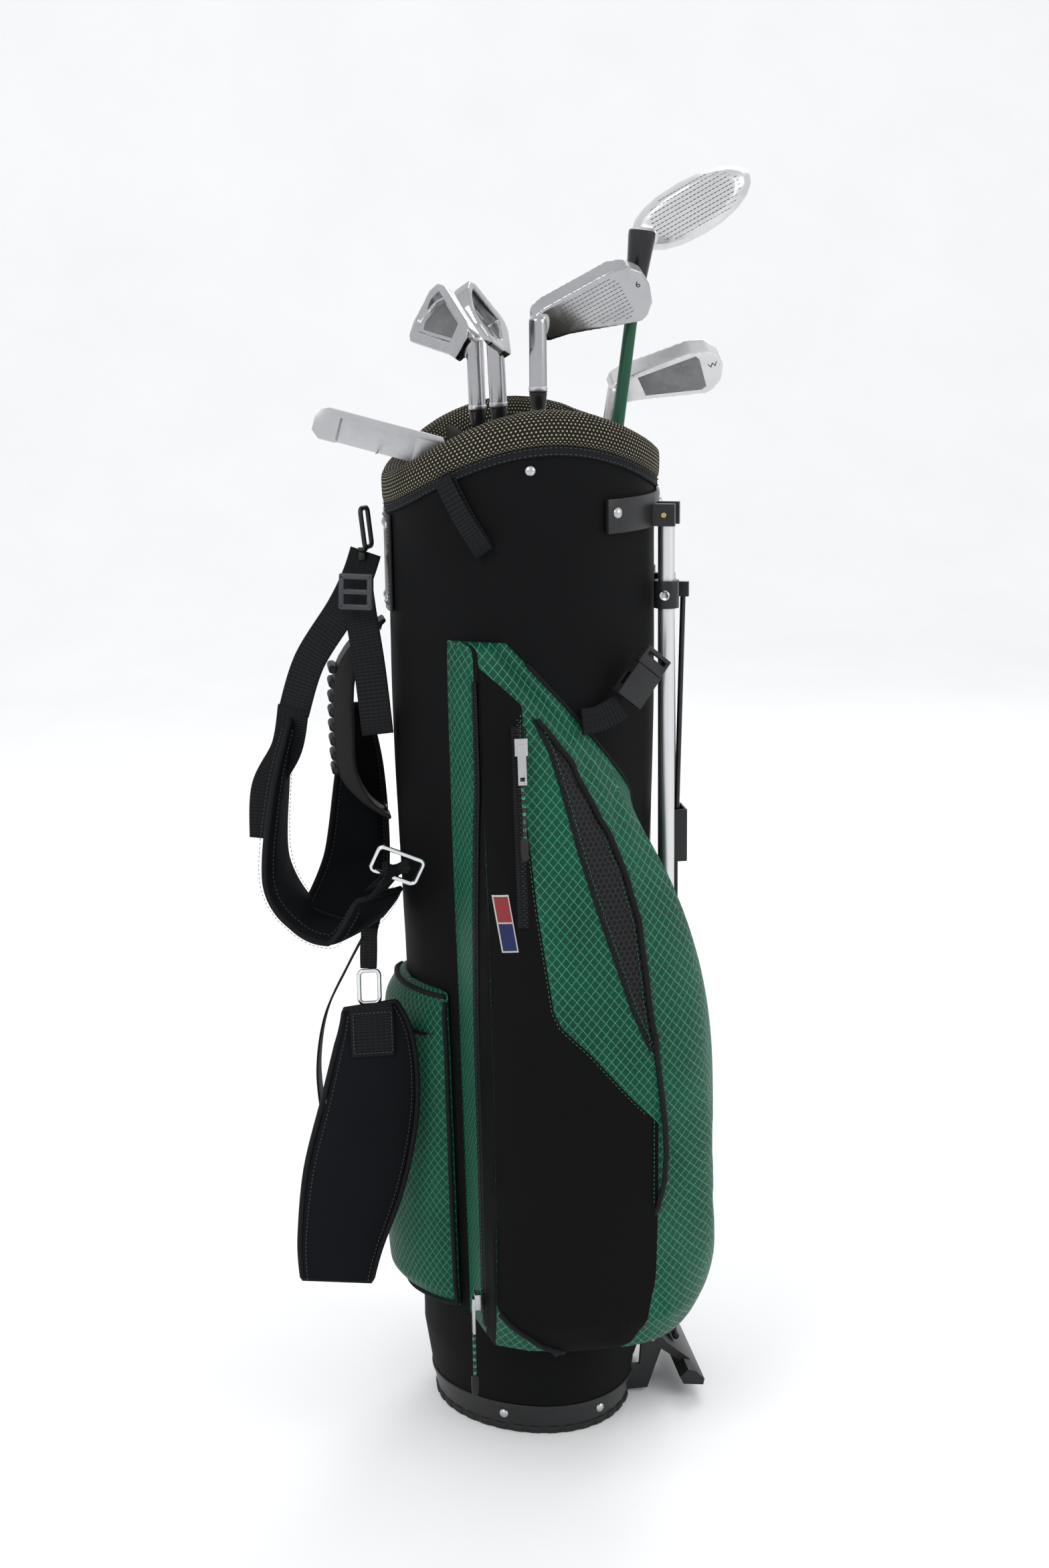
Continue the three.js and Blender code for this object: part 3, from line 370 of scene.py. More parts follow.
mouldedLooks = {  # color, worn color, roughness, grain scale, bump mm, wear, metallic
    "blackPlastic": ((0.009, 0.0092, 0.0098), (0.03, 0.031, 0.033), 0.34, 900.0, 0.025, 0.35, 0.0),
    "greyPlastic": ((0.03, 0.034, 0.039), (0.075, 0.08, 0.087), 0.38, 800.0, 0.03, 0.4, 0.0),
    "blackRubber": ((0.009, 0.009, 0.0095), (0.02, 0.02, 0.021), 0.62, 700.0, 0.06, 0.3, 0.0),
    "gripRubber": ((0.008, 0.008, 0.009), (0.022, 0.022, 0.023), 0.7, 600.0, 0.08, 0.3, 0.0),
    "blackVinyl": ((0.008, 0.0082, 0.009), (0.024, 0.025, 0.027), 0.33, 420.0, 0.09, 0.3, 0.0),
    "blackRod": ((0.008, 0.008, 0.0085), (0.05, 0.05, 0.052), 0.3, 1200.0, 0.01, 0.3, 0.4),
    "chromeWire": ((0.72, 0.73, 0.74), (0.45, 0.46, 0.47), 0.1, 900.0, 0.006, 0.5, 1.0),
    "platedSteel": ((0.5, 0.5, 0.51), (0.28, 0.28, 0.29), 0.24, 900.0, 0.012, 0.6, 1.0),
    "satinAluminium": ((0.66, 0.665, 0.67), (0.5, 0.505, 0.51), 0.36, 1500.0, 0.012, 0.6, 1.0),
    "chromeHead": ((0.42, 0.42, 0.43), (0.26, 0.26, 0.27), 0.16, 700.0, 0.012, 0.8, 1.0),
    "satinHead": ((0.63, 0.63, 0.635), (0.42, 0.42, 0.425), 0.34, 1500.0, 0.02, 0.8, 1.0),
    "blastedFace": ((0.1, 0.107, 0.11), (0.42, 0.42, 0.42), 0.42, 1800.0, 0.04, 0.9, 0.9),
    "faceGroove": ((0.06, 0.064, 0.066), (0.3, 0.3, 0.31), 0.5, 1800.0, 0.02, 0.9, 0.6),
    "blackHead": ((0.007, 0.007, 0.008), (0.03, 0.03, 0.032), 0.14, 1200.0, 0.004, 0.5, 0.2),
    "greenShaft": ((0.003, 0.055, 0.024), (0.008, 0.11, 0.055), 0.2, 900.0, 0.006, 0.4, 0.3),
    "greyShaft": ((0.022, 0.024, 0.026), (0.05, 0.052, 0.055), 0.22, 900.0, 0.006, 0.4, 0.4),
    "brightShaft": ((0.62, 0.62, 0.63), (0.4, 0.4, 0.41), 0.14, 900.0, 0.006, 0.5, 1.0),
    "ferrulePlastic": ((0.007, 0.007, 0.0075), (0.02, 0.02, 0.02), 0.2, 900.0, 0.006, 0.3, 0.0),
    "turnedBrass": ((0.5, 0.36, 0.13), (0.3, 0.2, 0.08), 0.28, 900.0, 0.02, 0.6, 1.0),
    "paleThread": ((0.05, 0.052, 0.055), (0.1, 0.1, 0.105), 0.7, 1500.0, 0.05, 0.1, 0.0),
    "greenThread": ((0.01, 0.11, 0.06), (0.05, 0.26, 0.15), 0.6, 1500.0, 0.05, 0.1, 0.0),
    "zipTooth": ((0.012, 0.0125, 0.0135), (0.05, 0.05, 0.055), 0.3, 900.0, 0.01, 0.2, 0.0),
}


def makeMouldedFinishes():
    for name, (color, worn, rough, scale, depth, wear, metal) in mouldedLooks.items():
        table, surface, place = startFinish(
            name, color, rough, Metallic=metal, Specular_IOR_Level=0.5 if metal else 0.3
        )
        grain = grainOf(table, place, 30.0, scale)
        marks = table.group("handlingWear", Vector=place["Object"], Amount=wear)
        tone = table.plus(table.times(grain["Cloud"], 0.25), table.times(marks["Mask"], 0.75))
        tone = table.plus(tone, table.times(marks["Rub"], 0.3))
        feed(table, surface, "Base Color", table.mix(tone, (*color, 1), (*worn, 1)))
        shine = table.plus(table.times(grain["Cloud"], 0.08), table.times(marks["Rub"], 0.16))
        feed(table, surface, "Roughness", table.plus(shine, rough - 0.03))
        bump(table, surface, table.minus(grain["Grain"], table.times(marks["Mask"], 0.6)), depth * mm)


makeClothFinishes()
makeRipstop()
makeDottedMesh()
makeOpenMesh()
makeRibFinishes()
makeMouldedFinishes()
print("finishes ready:", len(finishes))


# shape helpers, lengths in millimetres and results in metres
bagForm = {  # the bag's section and rim
    "tubeRadius": 98, "baseReach": 86, "baseHalfWidth": 93, "baseEgg": 0.12, "baseFlat": 79,
    "footShare": 0.88,
    "taperTop": 65, "roundFrom": 600, "rimStand": 722, "rimDrop": 13, "rimCrest": 38.5, "band": 12.5,
}


def lerp(a, b, t):
    return a + (b - a) * t


def clamp(value, low=0.0, high=1.0):
    return max(low, min(high, value))


def smooth(t):
    t = clamp(t)
    return t * t * (3 - 2 * t)


def bagPoint(angle, z, offset=0.0):  # angle in radians from +X
    f = bagForm
    c, s = math.cos(angle), math.sin(angle)
    grow = lerp(f["footShare"], 1, clamp(z / f["taperTop"]))
    baseX = min(f["baseReach"] * grow * c + offset * c, f["baseFlat"] * grow + offset)
    baseY = (f["baseHalfWidth"] * grow + offset) * s * (1 + f["baseEgg"] * c)
    turned = smooth((z - f["taperTop"]) / (f["roundFrom"] - f["taperTop"]))
    radius = f["tubeRadius"] + offset
    return Vector((lerp(baseX, radius * c, turned), lerp(baseY, radius * s, turned), z)) * mm


def rimHeight(angle):
    f = bagForm
    return f["rimStand"] - f["rimDrop"] * (1 - math.cos(angle)) / 2 + f["rimCrest"] * math.sin(angle) ** 2


def along(points, t):  # a smooth line through the points, t from 0 to 1, evenly per point
    last = len(points) - 1
    place = clamp(t) * last
    i = min(int(place), last - 1)
    f = place - i
    a, b, c, d = (points[max(0, min(last, i + k))] for k in (-1, 0, 1, 2))
    made = []
    for p, q, r, s in zip(a, b, c, d):
        m, n = (r - p) / 2, (s - q) / 2
        made.append(
            (2 * f**3 - 3 * f**2 + 1) * q + (f**3 - 2 * f**2 + f) * m + (-2 * f**3 + 3 * f**2) * r
            + (f**3 - f**2) * n
        )
    return Vector(made) if len(made) <= 4 else made


def steps(table, x):  # straight-line lookup in a sorted list of (x, value)
    if x <= table[0][0]:
        return table[0][1]
    for (x0, y0), (x1, y1) in zip(table, table[1:]):
        if x <= x1:
            return lerp(y0, y1, (x - x0) / (x1 - x0))
    return table[-1][1]


def finishPiece(name, bm, body, material, smoothAngle=None):
    mesh = bpy.data.meshes.new(name)
    bm.to_mesh(mesh)
    bm.free()
    made = bpy.data.objects.new(name, mesh)
    bpy.context.scene.collection.objects.link(made)
    for one in material if isinstance(material, (list, tuple)) else [material]:
        mesh.materials.append(finishes[one])
    mesh.polygons.foreach_set("use_smooth", [True] * len(mesh.polygons))
    if smoothAngle:
        mesh.set_sharp_from_angle(angle=math.radians(smoothAngle))
    if body:
        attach(made, body)
    return made


def fitted(made, slotName, node=None):  # slotName is not used; node is the frame's piece that it replaces
    if node:
        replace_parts(made, node)
    return made


def gridMesh(across, rows, rule, size, capEnds=False, paint=None):
    # a grid whose corners are moved by rule(u, v); size is the flattened width and length in mm.
    # Each corner keeps its column and row in the attribute "spot"; paint(u, v) picks a face's material.
    bm = bmesh.new()
    layer = bm.loops.layers.uv.new("UVMap")
    bmesh.ops.create_grid(bm, x_segments=across, y_segments=rows, size=0.5, calc_uvs=True)
    spot = bm.verts.layers.int.new("spot")
    for face in bm.faces:
        if paint:
            middle = face.calc_center_median()
            face.material_index = paint(middle.x + 0.5, middle.y + 0.5)
        for loop in face.loops:
            loop[layer].uv = [(c + 0.5) * s * mm for c, s in zip(loop.vert.co.xy, size)]
    for vert in bm.verts:
        u, v = vert.co.x + 0.5, vert.co.y + 0.5
        vert[spot] = round(u * across) * 1000 + round(v * rows)
        vert.co = rule(u, v)
    bmesh.ops.remove_doubles(bm, verts=bm.verts, dist=1e-6)
    if capEnds:
        bmesh.ops.holes_fill(bm, edges=[e for e in bm.edges if e.is_boundary], sides=0)
    bmesh.ops.recalc_face_normals(bm, faces=bm.faces)
    return bm


def spotted(made):  # (column, row) to place, in metres
    values = made.data.attributes["spot"].data
    return {divmod(values[v.index].value, 1000): v.co.copy() for v in made.data.vertices}


def modified(made, kind, **settings):
    made.modifiers.new(kind.title(), kind)
    for name, value in settings.items():
        setattr(made.modifiers[-1], name, value)
    return made


def applied(made):  # bakes the modifiers into the mesh
    graph = bpy.context.evaluated_depsgraph_get()
    fresh = bpy.data.meshes.new_from_object(
        made.evaluated_get(graph), preserve_all_data_layers=True, depsgraph=graph
    )
    old = made.data
    made.modifiers.clear()
    made.data = fresh
    bpy.data.meshes.remove(old)
    return made


def subdivided(made, levels=1):
    return applied(modified(made, "SUBSURF", levels=levels, render_levels=levels))


roundSection = [  # a flat section with rounded edges, as shares of its width and thickness
    (-0.5, -0.16), (-0.47, -0.4), (-0.38, -0.5), (-0.13, -0.5), (0.13, -0.5), (0.38, -0.5), (0.47, -0.4),
    (0.5, -0.16),
    (0.5, 0.16), (0.47, 0.4), (0.38, 0.5), (0.13, 0.5), (-0.13, 0.5), (-0.38, 0.5), (-0.47, 0.4),
    (-0.5, 0.16),
]


def stationAt(stations, v):  # stations: (place, side, width, thick); the width lies along side
    places, sides, sizes = zip(*[(p, s, (w, t, 0.0)) for p, s, w, t in stations])
    ahead = (along(places, v + 1e-3) - along(places, v - 1e-3)).normalized()
    side = along(sides, v)
    side = (side - ahead * side.dot(ahead)).normalized()
    width, thick, _ = along(sizes, v)
    return along(places, v), side, side.cross(ahead), width, thick


def ribbonRule(stations, section=roundSection):
    def rule(u, v):
        place, side, out, width, thick = stationAt(stations, v)
        a, b = section[int(round(u * len(section))) % len(section)]
        return (place + side * a * width + out * b * thick) * mm

    return rule


def lineLength(points, count=60):
    spots = [along(points, i / count) for i in range(count + 1)]
    return sum((b - a).length for a, b in zip(spots, spots[1:]))


def ribbon(name, stations, body, material, rows):
    size = (2 * max(s[2] for s in stations), lineLength([s[0] for s in stations]))
    bm = gridMesh(len(roundSection), rows, ribbonRule(stations), size, capEnds=True)
    return finishPiece(name, bm, body, material)


def pipe(name, points, radius, body, material, sides=10, rows=None, closed=False):
    # a round cord or wire through points in metres
    points = [Vector(p) for p in points]
    if closed:
        points = [*points, points[0]]
    total = sum((b - a).length for a, b in zip(points, points[1:]))
    rows = rows or len(points) - 1
    spots = [along(points, i / rows) if rows != len(points) - 1 else points[i] for i in range(rows + 1)]
    frames, normal = [], None
    for i in range(rows + 1):
        before, after = (spots[(i - 1) % rows], spots[(i + 1) % rows]) if closed else (
            spots[max(0, i - 1)], spots[min(rows, i + 1)]
        )
        ahead = (after - before).normalized()
        if normal is None:
            normal = ahead.orthogonal().normalized()
        else:
            normal = (normal - ahead * normal.dot(ahead)).normalized()
        frames.append((normal.copy(), ahead.cross(normal)))
    if closed:  # turn back what the frame gained on the way round
        first, last = frames[0], frames[-1]
        gained = math.atan2(last[0].dot(first[1]), last[0].dot(first[0]))
    else:
        gained = 0.0

    def rule(u, v):
        i = int(round(v * rows))
        a, b = frames[i]
        turn = 2 * math.pi * u - gained * v
        return spots[i] + (a * math.cos(turn) + b * math.sin(turn)) * radius * mm

    bm = gridMesh(sides, rows, rule, (2 * math.pi * radius, total / mm), capEnds=not closed)
    return finishPiece(name, bm, body, material)


def smoothed(points, count):
    points = [Vector(p) for p in points]
    return [along(points, i / count) for i in range(count + 1)]


def evenSpots(points, pitch):  # (place, direction) each pitch metres along a line
    found, carry = [], pitch / 2
    for a, b in zip(points, points[1:]):
        long = (b - a).length
        while long > 1e-9 and carry <= long:
            found.append((a.lerp(b, carry / long), (b - a).normalized()))
            carry += pitch
        carry -= long
    return found


def repeated(name, places, body, material):  # one small ball shape, set and stretched by each matrix
    single = bmesh.new()
    bmesh.ops.create_icosphere(single, subdivisions=1, radius=0.5)
    shape = bpy.data.meshes.new("single")
    single.to_mesh(shape)
    bm = bmesh.new()
    for place in places:
        shape.transform(place)
        bm.from_mesh(shape)
        single.to_mesh(shape)
    single.free()
    bpy.data.meshes.remove(shape)
    return finishPiece(name, bm, body, material)


# a matrix on a surface: X ahead, Z out, size in mm
def laidOn(spot, ahead, out, size, shift=0.0, lift=0.0):
    out = (out - ahead * out.dot(ahead)).normalized()
    side = out.cross(ahead)
    turn = Matrix((ahead, side, out)).transposed().to_4x4()
    return Matrix.Translation(
        spot + (side * shift + out * lift) * mm
    ) @ turn @ Matrix.Diagonal((*[c * mm for c in size], 1))


def stitches(name, lines, body, material="paleThread", pitch=3.4, long=2.3, thick=0.7, lift=0.25):
    # lines: (points in metres, outward) pairs; each stitch is a low rounded bar lying on the cloth
    places = []
    for points, outward in lines:
        for spot, ahead in evenSpots(points, pitch * mm):
            out = Vector(outward(spot) if callable(outward) else outward)
            places.append(laidOn(spot, ahead, out, (long, thick, thick), 0.0, lift))
    return repeated(name, places, body, material)


def blockMesh(bm, size, place, rounding=0.0, segments=2):  # a bevelled block, size in mm
    made = bmesh.ops.create_cube(bm, size=1.0, matrix=Matrix.Diagonal((*[s * mm for s in size], 1)))
    corners = made["verts"]
    if rounding:
        edges = list(dict.fromkeys(e for v in corners for e in v.link_edges))  # keeps one order
        done = bmesh.ops.bevel(
            bm, geom=edges, offset=rounding * mm, segments=segments, affect="EDGES", profile=0.5,
            material=-1, clamp_overlap=True
        )
        bevelled = [v for f in done["faces"] for v in f.verts]
        corners = list(dict.fromkeys([*bevelled, *(v for v in corners if v.is_valid)]))
    bmesh.ops.transform(bm, matrix=place, verts=corners)
    return corners


def turnedMesh(bm, profile, place, segments=32):  # a profile of (radius, height) in mm spun round +Z
    corners = [bm.verts.new((r * mm, 0, z * mm)) for r, z in profile]
    edges = [bm.edges.new(pair) for pair in zip(corners, corners[1:])]
    bmesh.ops.spin(
        bm, geom=corners + edges, cent=(0, 0, 0), axis=(0, 0, 1), dvec=(0, 0, 0), angle=2 * math.pi,
        steps=segments, use_merge=True
    )
    fresh = [v for v in bm.verts if not v.tag]  # earlier profiles in this mesh are tagged
    bmesh.ops.remove_doubles(bm, verts=fresh, dist=1e-6)
    made = [v for v in bm.verts if not v.tag]
    bmesh.ops.transform(bm, matrix=place, verts=made)
    for v in made:
        v.tag = True
    return made


def frameAt(place, ahead, side=None):  # +Z along ahead, +X near side, place in mm
    z = Vector(ahead).normalized()
    x = Vector(side) if side else z.orthogonal()
    x = (x - z * x.dot(z)).normalized()
    turn = Matrix((x, z.cross(x), z)).transposed().to_4x4()
    return Matrix.Translation(Vector(place) * mm) @ turn


def turnedPiece(name, profiles, body, material, segments=32, angle=35):
    # profiles: (profile, place) pairs, joined in one mesh
    bm = bmesh.new()
    for profile, place in profiles:
        turnedMesh(bm, profile, place, segments)
    bmesh.ops.recalc_face_normals(bm, faces=bm.faces)
    return finishPiece(name, bm, body, material, angle)


domeRivet = [(0, 2.0), (1.6, 1.75), (2.9, 1.1), (3.6, 0.35), (3.7, 0.0), (0, 0.0)]


def rivets(name, spots, body, material="platedSteel", scale=1.0):
    profile = [(r * scale, z * scale) for r, z in domeRivet]
    return turnedPiece(name, [(profile, frameAt(p, n)) for p, n in spots], body, material, 20, 50)


# soft goods: pressed out by a short cloth simulation, with its movement capped
pressLook = {"quality": 5, "tension": 6.0, "bending": 0.6}


def puffed(made, pressure, cap, held, frames):
    # held(co) says which corners keep their place; cap in mm
    rest = [v.co.copy() for v in made.data.vertices]
    group = made.vertex_groups.new(name="held")
    group.add([v.index for v in made.data.vertices if held(v.co)], 1.0, "REPLACE")
    cloth = made.modifiers.new("Cloth", "CLOTH").settings
    cloth.use_pressure = True
    cloth.uniform_pressure_force = pressure
    cloth.effector_weights.gravity = 0.0
    cloth.vertex_group_mass = "held"
    cloth.quality = pressLook["quality"]
    cloth.tension_stiffness = cloth.compression_stiffness = pressLook["tension"]
    cloth.bending_stiffness = pressLook["bending"]
    scene = bpy.context.scene
    for moment in range(1, frames + 1):
        scene.frame_set(moment)
    shaped = made.evaluated_get(bpy.context.evaluated_depsgraph_get()).data
    moved = [v.co.copy() for v in shaped.vertices]
    made.modifiers.clear()
    scene.frame_set(1)
    for vert, start, end in zip(made.data.vertices, rest, moved):
        step = end - start
        if step.length > cap * mm:
            step *= cap * mm / step.length
        vert.co = start + step
    made.vertex_groups.clear()


def loopPoints(profile, count):  # a closed smooth loop through the profile
    ring = [*profile, profile[0]]
    return [tuple(along(ring, i / count)) for i in range(count)]


def bagRing(name, profile, height, body, material, around=144, wave=None, sharp=None):
    # a closed (offset, height) profile carried round the bag
    ring = [*profile, profile[0]]
    girth = sum(math.dist(a, b) for a, b in zip(ring, ring[1:]))

    def rule(u, v):
        angle = 2 * math.pi * u
        offset, h = ring[int(round(v * len(profile)))]
        if wave:
            offset, h = wave(offset, h, angle)
        return bagPoint(angle, height(h, angle), offset)

    bm = gridMesh(around, len(profile), rule, (2 * math.pi * bagForm["tubeRadius"], girth))
    return finishPiece(name, bm, body, material, sharp)


def onRim(h, angle):
    return rimHeight(angle) + h


# bag tube: smooth cloth over a stiff tube, a little slack between its seams
tubeLook = {"bottom": 25.3, "wall": 3.0, "slack": 0.9, "rows": 70, "mapTall": 740.0}


def makeTube():
    t = tubeLook
    outside = [(0.0, i / t["rows"]) for i in range(t["rows"] + 1)]
    inside = [(-t["wall"], 1 - i / 12) for i in range(13)]

    def height(h, angle):
        return lerp(t["bottom"], rimHeight(angle) + bagForm["band"] - 1.0, h)

    def slack(offset, h, angle):
        if offset < -0.1:
            return offset, h
        z = height(h, angle)
        folds = noise.noise(Vector((math.cos(angle) * 2.2, math.sin(angle) * 2.2, z * 0.006)))
        ripples = noise.noise(Vector((math.cos(angle) * 6, math.sin(angle) * 6, z * 0.03 + 7)))
        ends = smooth(h * 12) * smooth((1 - h) * 12)
        return offset - t["slack"] * ends * (0.55 + 0.6 * folds + 0.25 * ripples), h

    made = bagRing("bagTubeCloth", outside + inside, height, "bag", "tubeCloth", 160, slack, 60)
    ring = [*outside, *inside, outside[0]]
    tall = t["mapTall"] / sum(math.dist(a, b) for a, b in zip(ring, ring[1:]))
    for item in made.data.uv_layers[0].data:  # the height share becomes metres up the tube
        item.uv.y *= tall
    fitted(made, "tube_fabric", "bag_tube")
    seam = [bagPoint(math.radians(92), z, 0.35) for z in range(40, 735, 8)]
    stations = [(Vector(p) / mm, (1, 0, 0), 15, 0.8) for p in seam[::8]]
    ribbon("tubeSeamStrip", stations, "bag", "twillBinding", 90)
    lines = [
        ([p + Vector((side * 5.5 * mm, 0, 0.0)) + Vector((0, 0.5 * mm, 0)) for p in seam], (0, 1, 0))
        for side in (-1, 1)
    ]
    stitches("tubeSeamStitches", lines, "bag")


# mouth: padded cuff, twill binding, divider bar
cuffLook = {
    "puff": 0.7, "divider": (-45.4, 746.0), "dividerSize": (5.6, 113.0, 29.6),
    "outline": [  # offset from the tube and height on the rim
        (0.4, 0.8), (1.9, 0.9), (3.0, 3.5), (3.4, 9.0), (3.5, 15.0), (2.9, 20.0), (-0.4, 23.2),
        (-5.5, 24.4), (-10.5, 24.1), (-15.5, 21.7), (-19.5, 17.2),
        (-21.6, 11.0), (-20.6, 3.0), (-18.2, -5.0), (-16.4, -11.6), (-10.0, -12.0), (-3.9, -11.6),
        (-3.5, -2.0), (-3.5, 6.0),
        (-3.4, 12.8), (0.4, 12.8), (0.4, 6.5),
    ],
    "band": [
        (0.35, -6.6), (1.2, -6.6), (1.75, -6.0), (2.0, -4.4), (2.05, -2.6), (2.0, -0.6), (1.7, 0.3),
        (1.1, 0.7), (0.35, 0.7), (0.3, -3.0),
    ],
}


def makeMouth():
    def puff(offset, h, angle):
        swell = noise.noise(Vector((math.cos(angle) * 7, math.sin(angle) * 7, 3.3)))
        pucker = noise.noise(Vector((math.cos(angle) * 22, math.sin(angle) * 22, h * 0.12)))
        grow = cuffLook["puff"] * (0.8 * swell + 0.5 * pucker) * smooth((h - 2) / 6)
        return offset + grow * (0.4 if offset > -8 else -0.6), h + grow * 0.8 * smooth((h - 18) / 4)

    cuff = subdivided(
        bagRing("paddedCuff", loopPoints(cuffLook["outline"], 60), onRim, "bag", "dottedMesh", 180, puff)
    )
    fitted(cuff, "cuff_mesh", "top_cuff")
    seamRing = [
        bagPoint(a, rimHeight(a) + 23.3, -11.5) for a in [2 * math.pi * i / 160 for i in range(160)]
    ]
    seam = pipe("cuffTopSeam", seamRing, 0.9, "bag", "twillBinding", 8, closed=True)
    def slack(offset, h, angle):
        wander = noise.noise(Vector((math.cos(angle) * 9, math.sin(angle) * 9, h * 0.05)))
        return offset + 0.25 * wander * (offset > 1), h + 0.3 * wander

    binding = subdivided(
        bagRing("rimBinding", loopPoints(cuffLook["band"], 16), onRim, "bag", "twillBinding", 180, slack)
    )
    fitted(binding, "webbing", "rim_band")
    ring = [2 * math.pi * i / 240 for i in range(241)]
    rows = [
        ([bagPoint(a, rimHeight(a) + z, 2.2) for a in ring], lambda spot: (spot.x, spot.y, 0))
        for z in (-5.2, -0.8)
    ]
    stitches("rimBindingStitches", rows, "bag", pitch=3.6)
    x, z = cuffLook["divider"]
    bm = bmesh.new()
    blockMesh(bm, cuffLook["dividerSize"], Matrix.Translation((x * mm, 0, z * mm)), 2.6, 4)
    bar = finishPiece("dividerBar", bm, "bag", "fuzzyBar", 50)
    unwrapBox(bar)
    fitted(bar, "cuff_mesh", "club_divider")


def unwrapBox(made):  # flattened map from the nearest side, in metres
    layer = made.data.uv_layers.get("UVMap") or made.data.uv_layers.new(name="UVMap")
    for face in made.data.polygons:
        n = [abs(c) for c in face.normal]
        pick = (1, 2) if n[0] >= max(n[1], n[2]) else (0, 2) if n[1] >= n[2] else (0, 1)
        for index in face.loop_indices:
            spot = made.data.vertices[made.data.loops[index].vertex_index].co
            layer.data[index].uv = (spot[pick[0]], spot[pick[1]])


# big pocket: panels in one skin, pressed out by cloth, with zips, piping and stitching
pocketLook = {"low": 97.0, "high": 620.0, "left": -131.0, "right": -46.0,
              "depth": 72.0, "reach": 124.0, "start": -46.0, "shy": 3.5,
              "map": (430, 523), "sewn": 104.0, "zipSide": (-44.0, -122.0), "loose": (100.0, 612.0),
              "pressure": 2.2, "cap": 4.0, "frames": 14}
# columns in: side strip, zip strip, corner, panel, inset, net, gusset, wall, back
pocketBands = [6, 3, 2, 16, 12, 8, 16, 6, 8]
pocketTints = [0, 1, 0, 1, 0, 2, 0, 0, 1]  # green, black, net
pocketRows = 112


def pocketDepth(z):
    p = pocketLook
    tall = p["high"] - p["low"]
    profile = [
        (p["low"], 0.78), (p["low"] + 33, 1.0), (p["low"] + tall * 0.445, 1.0),
        (p["low"] + tall * 0.885, 0.42), (p["high"], 0.14)
    ]
    return p["depth"] * steps(profile, z)


def pocketRight(z):
    p = pocketLook
    share = (z - p["low"]) / (p["high"] - p["low"])
    arch = math.cos(math.pi * 0.5 * max(0.0, (share - 0.3) / 0.7) ** 1.35)
    foot = 1 - 0.16 * max(0.0, 1 - share / 0.14) ** 2
    return lerp(p["start"] + 10, p["reach"], arch * foot)


def pocketFront(share, z):  # in mm
    side = abs(2 * share - 1) ** 3
    round_ = 1 - side * (0.77 if share > 0.5 else 0.34)
    x = lerp(pocketLook["start"], pocketRight(z), share)
    depth = max(0.6 * pocketDepth(z), pocketDepth(z) - pocketLook["shy"]) * round_
    return Vector((x, -0.985 * bagForm["tubeRadius"] - depth, z))


def pocketRightAngle(z):
    x = min(bagForm["tubeRadius"], pocketRight(z) + 10)
    return min(pocketLook["right"], -math.degrees(math.acos(x / bagForm["tubeRadius"])))


panelRight = [(97, 22), (99, 34), (110, 51), (126, 61), (156, 68),
              (223, 71), (278, 71), (322, 70), (375, 64), (426, 60), (459, 52),
              (487, 42), (513, 29), (541, 15), (562, -2), (577, -16), (592, -32), (604, -46), (621, -46)]
panelLeft = [(97, 20), (99, 12), (110, -13), (128, -37), (138, -46), (621, -46)]
insetLeft = [
    (97, 200), (284, 200), (285, 68), (304, 50), (336, 23), (356, 2), (367, -3), (437, -12), (494, -17),
    (549, -19), (576, -17), (577, 200)
]
netLeft = [
    (97, 200), (333, 200), (334, 66), (367, 52), (399, 42), (437, 30), (475, 19), (512, 10), (545, 2),
    (573, -12), (576, 200)
]


def pocketShares(z):  # shares of the front's width at the band edges
    start, wide = pocketLook["start"], pocketRight(z) - pocketLook["start"]
    right = clamp((steps(panelRight, z) - start) / wide, 0.0, 0.97)
    left = min(right, clamp((steps(panelLeft, z) - start) / wide))
    inset = max(left, min(right, (steps(insetLeft, z) - start) / wide))
    net = max(inset, min(right, (steps(netLeft, z) - start) / wide))
    return [0.0, left, inset, net, right, 1.0]


def pocketEdges():
    edges = [0]
    for count in pocketBands:
        edges.append(edges[-1] + count)
    return edges


def pocketBand(u):  # which band of columns, and how far across it
    edges = pocketEdges()
    column = u * edges[-1]
    band = max(i for i, e in enumerate(edges[:-1]) if column >= e - 1e-6)
    return band, (column - edges[band]) / pocketBands[band]


